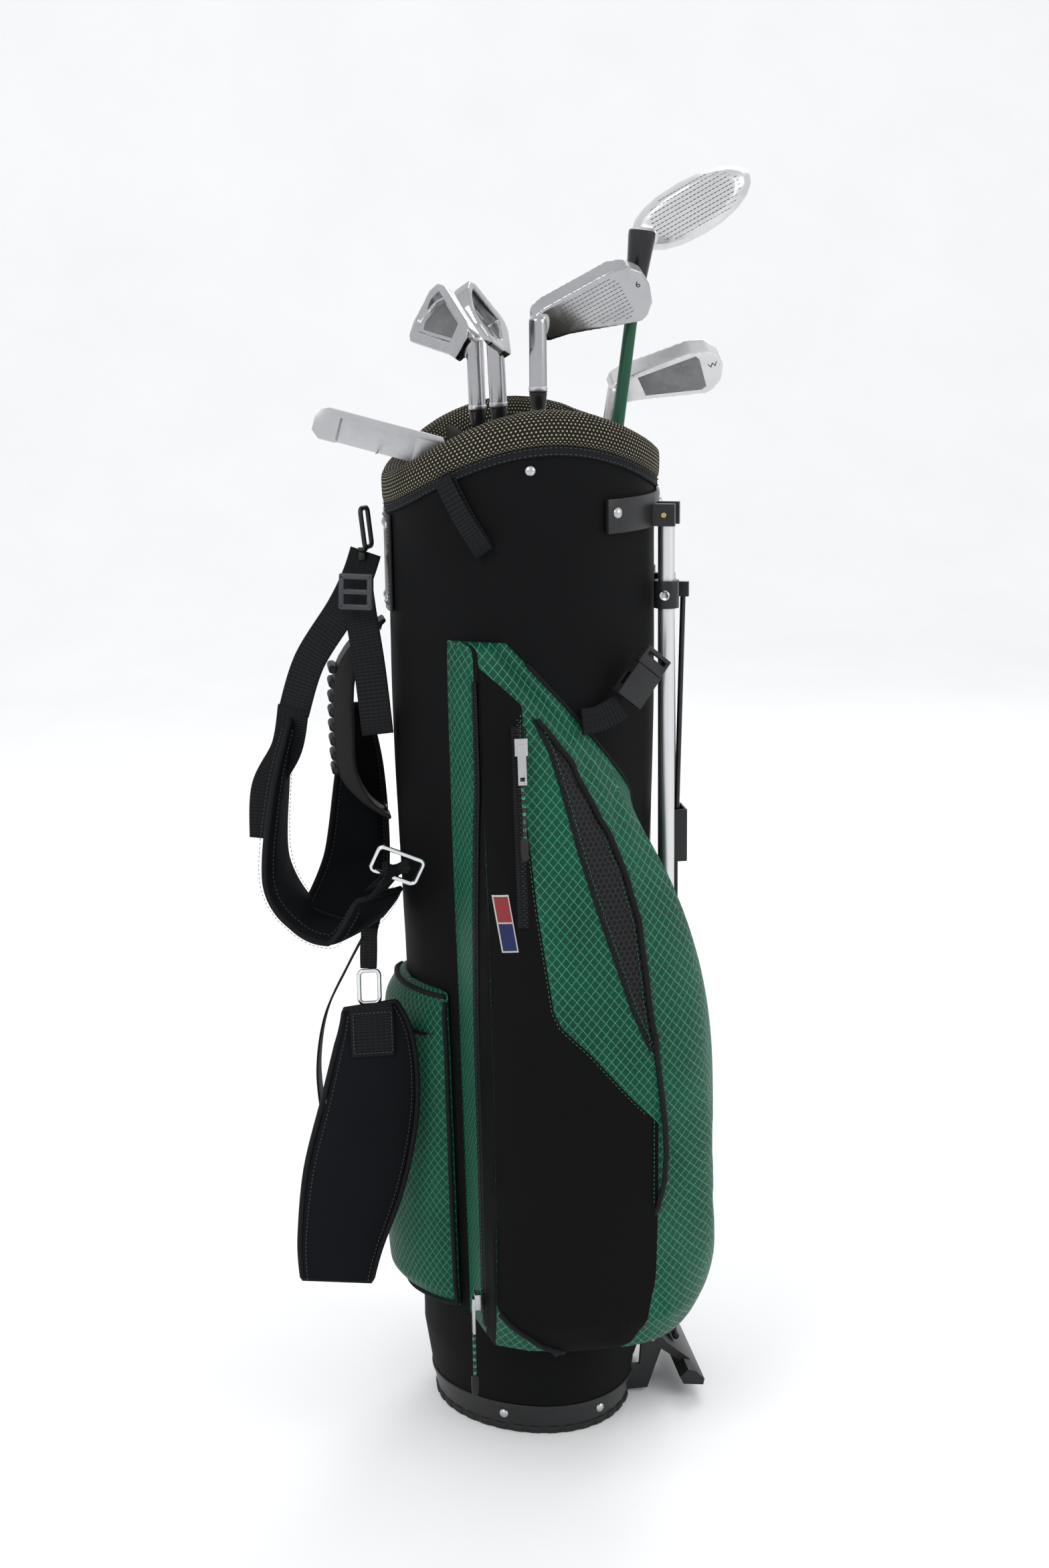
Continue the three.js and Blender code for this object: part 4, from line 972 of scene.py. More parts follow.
def pocketRule(u, v):
    p = pocketLook
    row = v * pocketRows
    foot, top = 7, 4  # rows that close the bottom and the top
    if row < foot:
        turn = math.radians(90 * row / foot)
        z, out = p["low"] + 1.0 + 7 * (1 - math.cos(turn)), 0.04 + 0.93 * math.sin(turn)
    elif row > pocketRows - top:
        turn = math.radians(90 * (pocketRows - row) / top)
        z, out = p["high"] - 1.0 - 5 * (1 - math.cos(turn)), 0.05 + 0.9 * math.sin(turn)
    else:
        z, out = lerp(p["low"] + 8, p["high"] - 6, (row - foot) / (pocketRows - top - foot)), 1.0
    band, f = pocketBand(u)
    shares = pocketShares(z)
    left = bagPoint(math.radians(p["left"]), z, 0.3) / mm
    corner = pocketFront(0.0, z)
    zipAt = clamp((-112.0 - left.y) / (corner.y - left.y), 0.35, 0.85)
    if band <= 1:
        t = lerp(0, zipAt, f) if band == 0 else lerp(zipAt, 1, f)
        spot = left.lerp(corner, t) + Vector((-0.8 * math.sin(math.pi * t), 0, 0))
        back = bagPoint(math.radians(p["left"] + 6 * t), z, 0.3) / mm
    elif band <= 6:
        share = lerp(shares[band - 2], shares[band - 1], f)
        spot = pocketFront(share, z)
        back = bagPoint(math.radians(lerp(p["left"] + 6, pocketRightAngle(z) - 4, share)), z, 0.3) / mm
    elif band == 7:
        end = bagPoint(math.radians(pocketRightAngle(z)), z, 0.3) / mm
        spot = pocketFront(1.0, z).lerp(end, f)
        back = bagPoint(math.radians(pocketRightAngle(z) - 4 + 4 * f), z, 0.3) / mm
    else:
        spot = back = bagPoint(math.radians(lerp(pocketRightAngle(z), p["left"], f)), z, 0.3) / mm
    spot = back.lerp(spot, out) if band < 8 else spot
    spot.z = z
    if 2 <= band <= 7 or band == 0:  # soft folds: long ones down the gusset, shallow ones on the panel
        loose = 1.9 if band >= 6 else 1.4 if band == 0 else 0.8
        fold = noise.noise(
            Vector((spot.x * 0.035, z * 0.012, 4.0))
        ) + 0.5 * noise.noise(Vector((spot.x * 0.09, z * 0.03, 9.0)))
        spot.y += loose * fold * out * smooth((z - p["low"]) / 40) * (f * (1 - f) * 4 if band == 7 else 1)
    return spot * mm


def pocketPaint(u, v):
    return pocketTints[pocketBand(u)[0]]


def makeBigPocket():
    edges = pocketEdges()
    bm = gridMesh(edges[-1], pocketRows, pocketRule, pocketLook["map"], capEnds=True, paint=pocketPaint)
    pocket = finishPiece("bigPocket", bm, None, ["greenRipstop", "panelCloth", "blackNet"])
    flattenPocketMap(pocket)

    p = pocketLook

    def held(co):  # what is sewn to the tube stays
        x, y, z = co / mm
        byZip = x < p["zipSide"][0] and y > p["zipSide"][1]
        return math.hypot(x, y) < p["sewn"] or byZip or not p["loose"][0] <= z <= p["loose"][1]

    puffed(pocket, p["pressure"], p["cap"], held, p["frames"])
    place = spotted(pocket)
    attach(pocket, "bag")
    fitted(pocket, "pocket_fabric", "big_pocket")
    dressPocket(place, edges)


def flattenPocketMap(made):  # the map follows the cloth: metres across from the left edge, and up
    layer = made.data.uv_layers[0].data
    for face in made.data.polygons:
        side = abs(face.normal.x) > 0.8
        for index in face.loop_indices:
            spot = made.data.vertices[made.data.loops[index].vertex_index].co
            layer[index].uv = (spot.y if side else spot.x, spot.z)


def outOfBag(spot):
    return Vector((spot.x, spot.y, 0)).normalized()


def toFront(spot):
    return Vector((0.12, -1, 0)).normalized()


def dressPocket(place, edges):
    def column(k, low, high, lift=0.0, out=toFront):
        rows = [j for j in range(pocketRows + 1) if (k, j) in place and low <= place[(k, j)].z / mm <= high]
        return [place[(k, j)] + out(place[(k, j)]) * lift * mm for j in rows]

    cornerOut = lambda spot: Vector((0.62, -0.78, 0))
    panelEdge = column(edges[6], 99, 600, 1.3, cornerOut)
    panelFoot = column(edges[3], 99, 140, 0.8)
    line = smoothed([*reversed(panelEdge[::2]), *panelFoot], 220)
    netEdge = smoothed(column(edges[5], 336, 572, 0.2)[::2], 80)
    gusset = smoothed(column(edges[8], 104, 612, 0.3, outOfBag)[::3], 120)
    for name, seam, radius, sides in (
        ("pocketPiping", line, 2.0, 10), ("netEdgePiping", netEdge, 1.1, 8), ("gussetSeam", gusset, 1.5, 8),
    ):
        pipe(name, seam, radius, "bag", "twillBinding", sides)

    def shifted(line, side):
        made = []
        for i, spot in enumerate(line):
            ahead = (line[min(i + 1, len(line) - 1)] - line[max(i - 1, 0)]).normalized()
            made.append(spot + ahead.cross(toFront(spot)).normalized() * side * mm)
        return made

    insetEdge = column(edges[4], 287, 574, 0.25)
    lines = [(shifted(insetEdge, s), toFront) for s in (-1.6, 1.6)]
    lines += [(shifted(panelEdge, s), toFront) for s in (-4.2, 4.2)]
    lines += [(shifted(column(edges[5], 336, 572, 0.25), 3.2), toFront)]
    stitches("pocketStitches", lines, "bag", "greenThread")
    sideOut = lambda spot: Vector((-1, -0.25, 0))
    strip = [
        (shifted(column(1, 112, 606, 0.3, sideOut), 0), sideOut),
        (column(edges[1] - 1, 112, 600, 0.3, sideOut), sideOut)
    ]
    stitches("sideStripStitches", strip, "bag", "greenThread")
    mainLine = column(edges[1], 108, 606, 0.7, sideOut)
    addZip("mainZip", smoothed(mainLine[:: 3], 160), sideOut)
    front = [
        Vector((zipFront["x"], pocketSkin(place, edges, zipFront["x"], z) - 0.9, z)) * mm
        for z in range(zipFront["low"], zipFront["high"], 6)
    ]
    addZip("frontZip", smoothed(front[:: 2], 100), toFront)


zipFront = {"x": -21.0, "low": 426, "high": 577}


def pocketSkin(place, edges, x, z):  # how far forward the pressed skin is, in mm
    best = min(
        (p for (i, _), p in place.items() if edges[2] <= i <= edges[7]),
        key=lambda p: math.hypot(p.x / mm - x, p.z / mm - z)
    )
    return best.y / mm


def addZip(name, line, out):
    # a woven tape with two rows of coil teeth
    stations = [
        (spot / mm - Vector(out(spot)) * 0.35, Vector(out(spot)).cross(up), 11.0, 0.9)
        for spot in line[:: 8]
    ]
    tape = ribbon(name + "Tape", stations, "bag", "blackWebbing", 120)
    places = []
    for i, (spot, ahead) in enumerate(evenSpots(line, 1.7 * mm)):
        places.append(
            laidOn(
                spot, ahead, Vector(out(spot)).normalized(), (1.25, 2.6, 1.3), 0.75 if i % 2 else -0.75, 0.5
            )
        )
    teeth = repeated(name + "Teeth", places, "bag", "zipTooth")


# ball pocket on the carrying side
ballLook = {"low": 98.0, "high": 357.0, "from": -196.0, "to": -135.0,
            "depth": 30.0, "across": 26, "back": 8, "rows": 60,
            "map": (190, 259), "sewn": 89.5, "loose": (100.0, 354.0), "pressure": 2.5, "cap": 4.0,
            "frames": 14, "zipRow": 52}


def ballRule(u, v):
    b = ballLook
    column = u * (b["across"] + b["back"])
    z = lerp(b["low"] + 1, b["high"] - 1, v)
    if column > b["across"]:
        f = (column - b["across"]) / b["back"]
        return bagPoint(math.radians(lerp(b["to"], b["from"], f)), z, 0.7)
    f = column / b["across"]
    angle = lerp(b["from"], b["to"], f)
    rounded = math.sin(math.pi * lerp(0.06, 0.8, 1 - f) ** 1.2)
    tall = 0.1 + 0.9 * rounded * math.sin(math.pi * lerp(0.24, 0.93, v)) ** 0.6
    ends = min(1.0, f * 9, (1 - f) * 9) ** 0.5 * min(1.0, v * 14, (1 - v) * 14) ** 0.5
    fold = 1.3 * noise.noise(Vector((angle * 0.09, z * 0.025, 1.0)))
    return bagPoint(math.radians(angle), z, 0.7 + (b["depth"] - 2.5) * tall * ends + fold * ends)


def makeBallPocket():
    b = ballLook
    total = b["across"] + b["back"]
    bm = gridMesh(total, b["rows"], ballRule, b["map"], capEnds=True)
    pocket = finishPiece("ballPocket", bm, None, "greenRipstop")

    def held(co):
        return math.hypot(co.x, co.y) < b["sewn"] * mm or not b["loose"][0] <= co.z / mm <= b["loose"][1]

    puffed(pocket, b["pressure"], b["cap"], held, b["frames"])
    place = spotted(pocket)
    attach(pocket, "bag")
    subdivided(pocket, 1)
    fitted(pocket, "pocket_fabric", "ball_pocket")
    lines = {
        "ballPocketRightPiping": [place[(b["across"] - 1, j)] for j in range(1, b["rows"], 3)],
        "ballPocketLeftPiping": [place[(1, j)] for j in range(1, b["rows"], 3)],
        "ballPocketFootPiping": [place[(k, 1)] for k in range(1, b["across"], 2)],
        "ballPocketTopPiping": [place[(k, b["rows"] - 1)] for k in range(1, b["across"], 2)],
    }
    for name, line in lines.items():
        raised = smoothed([p + outOfBag(p) * 0.6 * mm for p in line], 60)
        pipe(name, raised, 1.9, "bag", "twillBinding", 8)
    zipRow = [place[(k, b["zipRow"])] for k in range(3, b["across"] - 2, 2)]
    zipLine = [p + outOfBag(p) * 0.4 * mm for p in zipRow]
    addZip("ballZip", smoothed(zipLine, 60), outOfBag)


# copies of the frame's own shapes, with their edges eased
def eased(name, node, material, slotName, rounding=0.6, segments=2, angle=38, cast=None):
    # cast = (voxel mm, smoothing rounds) melts the shape together as a casting or moulding
    body = nodes[node]["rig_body"]
    bm = bmesh.new()
    bm.from_mesh(nodes[node].data)
    bmesh.ops.remove_doubles(bm, verts=bm.verts, dist=2e-6)
    bmesh.ops.recalc_face_normals(bm, faces=bm.faces)
    if not cast:
        bmesh.ops.dissolve_limit(bm, angle_limit=math.radians(1), verts=bm.verts, edges=bm.edges)
        sharp = [e for e in bm.edges if e.is_manifold and e.calc_face_angle(0) > math.radians(angle)]
        if rounding:
            bmesh.ops.bevel(
                bm, geom=sharp, offset=rounding * mm, segments=segments, affect="EDGES", profile=0.5,
                material=-1, clamp_overlap=True
            )
    made = finishPiece(name, bm, body, material, 34 if not cast else 60)
    if cast:
        modified(made, "REMESH", mode="VOXEL", voxel_size=cast[0] * mm, use_smooth_shade=True)
        modified(made, "SMOOTH", factor=0.5, iterations=cast[1])
        applied(made)
    unwrapBox(made)
    fitted(made, slotName, node)
    return made


# base cup and the hardware fixed to the bag
def bagNormal(angle, z):
    return bagPoint(angle, z, 1.0) - bagPoint(angle, z, 0.0)


cupLook = {  # profiles as offset and height
    "lip": [(-0.6, 0.3), (0.9, 0.3), (1.5, 1.4), (1.5, 4.4), (0.9, 5.4), (0.1, 5.8), (0.1, 0.9)],
    "ridge": [(0.1, 21.6), (1.0, 22.0), (1.2, 23.2), (1.0, 24.6), (0.1, 25.0)],
    "notches": 36,
}


def bagRivets(name, spots, lift, scale):  # spots: angle in degrees and height
    found = [(bagPoint(math.radians(a), z, lift) / mm, bagNormal(math.radians(a), z)) for a, z in spots]
    rivets(name, found, "bag", scale=scale)


def makeBagHardware():
    eased("baseCup", "base_cup", "blackPlastic", "base_plastic", 0.8, 2, 50)

    def notched(offset, h, angle):
        return (offset if math.sin(angle * cupLook["notches"]) > -0.2 else min(offset, 0.35)), h

    tread = bagRing("cupTread", cupLook["lip"], lambda h, a: h, "bag", "blackRubber", 432, notched, 40)
    bagRing("cupRidge", loopPoints(cupLook["ridge"], 10), lambda h, a: h, "bag", "blackPlastic")
    bagRivets("cupRivets", [(a, 15) for a in (-58, -115, 160, 115, 62)], 0.2, 1.0)
    bagRivets("mouthRivets", [(-94, 738), (-128, 722), (86, 738)], 0.4, 1.05)
    eased("hookPlate", "hook_plate", "blackVinyl", "vinyl", 0.5, 2, 30)
    bagRivets("hookPlateRivets", [(172, 694), (186, 694), (173, 641), (185, 641)], 2.7, 0.9)
    lines = [
        ([bagPoint(math.radians(a), z, 2.9) for a in range(169, 190)], outOfBag) for z in (636.5, 700.5)
    ]
    lines += [
        ([bagPoint(math.radians(a), z, 2.9) for z in range(637, 701, 3)], outOfBag) for a in (168.6, 189.4)
    ]
    stitches("hookPlateStitches", lines, "bag", pitch=3.0)


def plateAxes(across, upwards):
    x = Vector(across).normalized()
    z = x.cross(Vector(upwards)).normalized()
    return x, z.cross(x), z


def wirePath(centre, across, upwards, width, height, corner, depth):
    x, y, z = plateAxes(across, upwards)
    spots = []
    for sx, sy, start in ((1, -1, -90), (1, 1, 0), (-1, 1, 90), (-1, -1, 180)):
        for i in range(7):
            turn = math.radians(start + 15 * i)
            a = sx * (width / 2 - corner) + corner * math.cos(turn)
            b = sy * (height / 2 - corner) + corner * math.sin(turn)
            spots.append((Vector(centre) + x * a + y * b + z * depth) * mm)
    return spots


wires = {  # centre, across, upwards, width, height, wire, node, finish, slot
    "snapHookLoop": (
        (-115, 6, 691), (0.5, 1, 0), (-0.12, 0, 1), 17, 32, 3.6, "snap_hook", "blackRod", "hook_steel"
    ),
    "upperStrapRing": (
        (-103, -69, 456), (1, 0, -0.42), (0.3, -0.3, 1), 38, 24, 3.4, "strap_ring_upper", "chromeWire",
        "ring_chrome"
    ),
    "lowerStrapRing": (
        (-126, -64.4, 363.5), (1, 0, 0), (0, 0, 1), 18, 28, 3.2, "strap_ring_lower", "chromeWire",
        "ring_chrome"
    ),
}


def makeWires():
    for name, (centre, across, upwards, width, height, wire, node, material, slotName) in wires.items():
        path = wirePath(centre, across, upwards, width - wire, height - wire, 3.6, wire / 2)
        body = nodes[node]["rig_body"]
        made = pipe(name, path, wire / 2, body, material, 14, closed=True)
        fitted(made, slotName, node)
    barrel = [(0, 0), (2.6, 0), (3.3, 1.0), (3.3, 5.0), (2.4, 6.2), (3.6, 7.0), (3.6, 9.0), (0, 9.6)]
    at = frameAt((-116.6, 4.6, 667.5), (0.05, 0.02, 1))
    turnedPiece("snapHookBarrel", [(barrel, at)], "bag", "blackRod", 20)


# strap: webbing, slider, padded halves, lower pad
webSide = (1, -0.35, 0)
strapLook = {
    "main": [(-114, 6, 673.5), (-121, 4, 655), (-133, 4, 632), (-158, 5, 594), (-171, 5, 556)],
    "tail": [(-122, 4, 655), (-120, -3, 632), (-115, -12, 590), (-111, -20, 542)],
    "upperFront": [
        ((-173, 5, 550), (0.2, 1, 0), 26, 8), ((-184, 4, 500), (0.2, 1, 0), 62, 11),
        ((-188, 0, 435), (0.25, 1, 0), 78, 12),
        ((-165, -8, 399), (0.3, 1, -0.1), 80, 12), ((-134, -26, 396), (0.45, 1, -0.1), 72, 12),
        ((-116, -50, 428), (0.8, 1, -0.3), 44, 10),
    ],
    "upperBack": [
        ((-121, 46, 552), (1, 0.1, 0), 14, 8), ((-121, 46, 500), (1, 0.1, 0), 34, 9),
        ((-126, 40, 430), (1, 0.1, 0), 48, 9),
        ((-142, 4, 396), (1, 0.3, 0), 56, 9),
    ],
    "lower": [
        ((-126, -66, 349), (1, 0, 0), 38, 12), ((-123, -66, 320), (1, 0, 0), 56, 12),
        ((-128, -66, 272), (1, 0, 0), 70, 12),
        ((-141, -66, 216), (1, 0, 0), 74, 12), ((-153, -66, 166), (1, 0, 0), 62, 12),
        ((-157, -66, 134), (1, 0, 0), 52, 12),
    ],
    "padShy": 2.2, "padCap": 1.6, "binding": 2.2, "pressure": 2.0, "sewn": 12.0, "frames": 10,
    "patch": [(-126, -72.4, 352), (-125, -72.8, 335), (-125, -72.6, 312)],
    "patchSeam": [
        (-139, -73.7, 346), (-111, -73.7, 346), (-111, -73.7, 315), (-139, -73.7, 315), (-139, -73.7, 346)
    ],
    "padWeb": [(-171, 5, 560), (-177, 4.5, 530), (-193, 3, 500), (-196, 1, 462)],
    "ringWeb": [(-119, -52, 436), (-110, -62, 447), (-104, -69, 455), (-108, -70, 447), (-117, -58, 432)],
    "hanger": [(-124, -52, 404), (-125, -62, 392), (-126, -65, 378), (-126, -67, 392), (-124, -60, 406)],
    "looseTail": [
        (-127, -56, 402), (-140, -50, 376), (-157, -48, 340), (-164, -48, 300), (-162, -50, 262),
        (-158, -50, 236)
    ],
    "towel": [  # angle, height, lift off the tube
        (-129, 733, 1.9), (-121, 707, 1.9), (-114, 688, 3), (-112.4, 682.5, 5.4), (-114, 688, 7.8),
        (-121, 707, 7), (-129, 733, 7.5),
    ],
    "legBand": [
        ((27, -103, 562), (0, 0, 1), 19, 1.8), ((40, -98, 563), (-0.1, 0, 1), 19, 1.8),
        ((57.5, -93, 570.5), (-0.75, 0, 0.66), 19, 1.8)
    ],
}
gripLook = {
    "ribs": 8, "from": 509, "pitch": 11, "size": (6.5, 26.5, 6.4), "reach": -140.6, "bow": 0.9, "side": 22,
    "ends": (616, 477)
}


def webbed(name, points, body="bag", node=None, width=24, thick=1.8, side=webSide, rows=60):
    fitted(
        ribbon(name, [(p, side, width, thick) for p in points], body, "blackWebbing", rows), "webbing", node
    )


padSection = [
    (0.5 * math.cos(t), 0.5 * math.copysign(abs(math.sin(t)) ** 0.55, math.sin(t)))
    for t in [2 * math.pi * i / 36 for i in range(36)]
]


def padded(name, stations, body, rows):
    # a foam pad with rounded faces, pressed out, and a bound edge down both sides and across its ends
    s = strapLook
    slim = [(place, side, wide - 2, thick - s["padShy"]) for place, side, wide, thick in stations]
    size = (2.2 * max(one[2] for one in stations), lineLength([one[0] for one in stations]))
    bm = gridMesh(len(padSection), rows, ribbonRule(slim, padSection), size, capEnds=True)
    made = finishPiece(name, bm, None, "neoprene")
    rule = ribbonRule(stations, padSection)
    ends = [rule(u, v) for u in (0.5, 0.0) for v in (0.0, 1.0)]
    puffed(
        made, s["pressure"], s["padCap"], lambda co: min((co - e).length for e in ends) < s["sewn"] * mm,
        s["frames"]
    )
    subdivided(made)
    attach(made, body)
    path = [rule(0.0, i / 50) for i in range(51)] + [rule(0.5, 1 - i / 50) for i in range(51)]
    bound = pipe(name + "Binding", path, s["binding"], body, "twillBinding", 8, closed=True)

    lines = []
    for share in (-0.43, 0.43):
        for b in (-0.43, 0.43):  # a line down each edge of both faces
            found = []
            for i in range(2, 79):
                place, side, out, width, thick = stationAt(stations, i / 80)
                found.append(((place + side * share * width + out * b * thick) * mm, out * b))
            lines.append(([f[0] for f in found], found[len(found) // 2][1]))
    stitches(name + "Stitches", lines, body, pitch=3.2, thick=0.6)
    return made


def makeStrap():
    s = strapLook
    webbed("strapWeb", s["main"], node="strap_webbing")
    webbed("strapTail", s["tail"])
    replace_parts(padded("upperPadFront", s["upperFront"], "bag", 56), "shoulder_pad_upper")
    padded("upperPadBack", s["upperBack"], "bag", 34)
    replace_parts(padded("lowerPad", s["lower"], "lower_pad", 50), "shoulder_pad_lower")
    webbed("lowerPadWebPatch", s["patch"], "lower_pad", None, 32, 1.6, (1, 0, 0), 24)
    seam = [Vector(spot) * mm for spot in s["patchSeam"]]
    stitches("lowerPadPatchStitches", [(seam, (0, -1, 0))], "lower_pad", pitch=2.8)
    webbed("upperPadWeb", s["padWeb"], thick=1.6, rows=30)
    webbed("ringWeb", s["ringWeb"], width=22, thick=1.6, side=(0.8, 0.6, 0.25), rows=30)
    webbed("ringHangerWeb", s["hanger"], width=12, thick=1.5, side=(1, 0, 0), rows=30)
    webbed("looseWebTail", s["looseTail"], width=20, thick=1.6, side=(0.2, 1, 0), rows=50)
    stations = []
    for angle, z, off in s["towel"]:
        a = math.radians(angle)
        stations.append(
            (tuple(bagPoint(a, z, off) / mm), (-0.82 * math.sin(a), 0.82 * math.cos(a), 0.57), 14, 1.8)
        )
    fitted(ribbon("towelLoopWeb", stations, "bag", "blackWebbing", 60), "webbing", "towel_loop")
    fitted(ribbon("legStrapWeb", s["legBand"], "bag", "blackWebbing", 30), "webbing", "leg_strap")
    eased("buckleSocket", "buckle_socket", "blackPlastic", "buckle_plastic", 0.9, 3, 40)
    eased("bucklePlug", "buckle_plug", "blackPlastic", "buckle_plastic", 0.7, 2, 40)
    makeSlider()
    eased("carryGripRubber", "carry_handle", "blackRubber", "handle_rubber", cast=(1.5, 5))
    bm = bmesh.new()
    g = gripLook
    for i in range(g["ribs"]):  # finger ribs
        x = g["reach"] - g["bow"] * math.sin(math.pi * i / (g["ribs"] - 1))
        spot = Vector((x, g["side"], g["from"] + g["pitch"] * i)) * mm
        blockMesh(bm, g["size"], Matrix.Translation(spot), 2.6, 4)
    finishPiece("carryGripRibs", bm, "bag", "blackRubber", 60)
    spots = [((-102.8, g["side"], z), (-1, 0, 0.25 if z > 550 else -0.2)) for z in g["ends"]]
    rivets("carryGripRivets", spots, "bag", scale=1.1)


sliderLook = {"centre": (-122.5, -15, 647), "bars": [  # place and size of each bar
    ((0, 11, 2.1), (26, 4.2, 4.2)), ((0, -11, 2.1), (26, 4.2, 4.2)), ((-11, 0, 2.1), (4.2, 24, 4.2)),
    ((11, 0, 2.1), (4.2, 24, 4.2)),
    ((0, 0, 2.6), (20, 4.0, 3.2)),
]}


def makeSlider():  # a frame with a middle bar
    x, y, z = plateAxes((1, -0.5, 0), (0.2, 0, 1))
    turn = Matrix((x, y, z)).transposed().to_4x4()
    bm = bmesh.new()
    for place, size in sliderLook["bars"]:
        spot = Vector(sliderLook["centre"]) + x * place[0] + y * place[1] + z * place[2]
        blockMesh(bm, size, Matrix.Translation(spot * mm) @ turn, 1.1, 3)
    made = finishPiece("strapSlider", bm, "bag", "greyPlastic", 40)
    fitted(made, "grey_plastic", "slider_buckle")


# zip pulls and their cords
zipPulls = {  # node stem: cord start, cord end, in mm
    "main": ((-59.3, -112.0, 104.7), (-59.3, -112.0, 54.7)),
    "front": ((-21.0, -139.905, 526.706), (-21.0, -147.216, 475.222)),
}


def makeZipPulls():
    for stem, (start, end) in zipPulls.items():
        body = stem + "_zip"
        eased(stem + "ZipSlider", stem + "_zip_slider", "platedSteel", "hook_steel", 0.5, 2, 40)
        a, b = Vector(start), Vector(end)
        bow = Vector((0.0, -0.6, 0.0)) if stem == "main" else Vector((0.6, 0, 0))
        curve = bpy.data.curves.new(stem + "ZipCord", "CURVE")
        curve.dimensions = "3D"
        curve.bevel_depth = 1.25 * mm
        curve.bevel_resolution = 3
        line = curve.splines.new("POLY")
        line.points.add(20)
        for i, point in enumerate(line.points):
            point.co = (*((a.lerp(b, i / 20) + bow * math.sin(math.pi * i / 20)) * mm), 1)
        cord = bpy.data.objects.new(stem + "ZipCord", curve)
        bpy.context.scene.collection.objects.link(cord)
        curve.materials.append(finishes["dottedCord"])
        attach(cord, body)
        fitted(cord, "cord", stem + "_zip_cord")
        down = (b - a).normalized()
        profile = [(0, 0), (2.2, 0.2), (2.9, 1.6), (3.0, 6), (2.7, 12), (2.2, 15.5), (1.3, 16.2), (0, 16.2)]
        pull = turnedPiece(
            stem + "ZipCordEnd", [(profile, frameAt(b - down * 15.6, down))], body, "blackRubber", 20
        )


# stand
standLook = {
    "x": 99.8625, "apart": 43.0, "pivot": 700.0, "splay": 23.0, "radius": 6.1, "wall": 1.0, "length": 640.0,
    "foot": 26.0
}


def legPlace(side):
    s = standLook
    at = Vector((s["x"], side * s["apart"], s["pivot"])) * mm
    return Matrix.Translation(at) @ Matrix.Rotation(math.radians(side * s["splay"]), 4, "Z")


pedalLook = {"treads": 9, "first": (122.5, -36, 19.6), "pitch": 9, "tilt": 48, "tread": (11, 1.8, 1.2)}


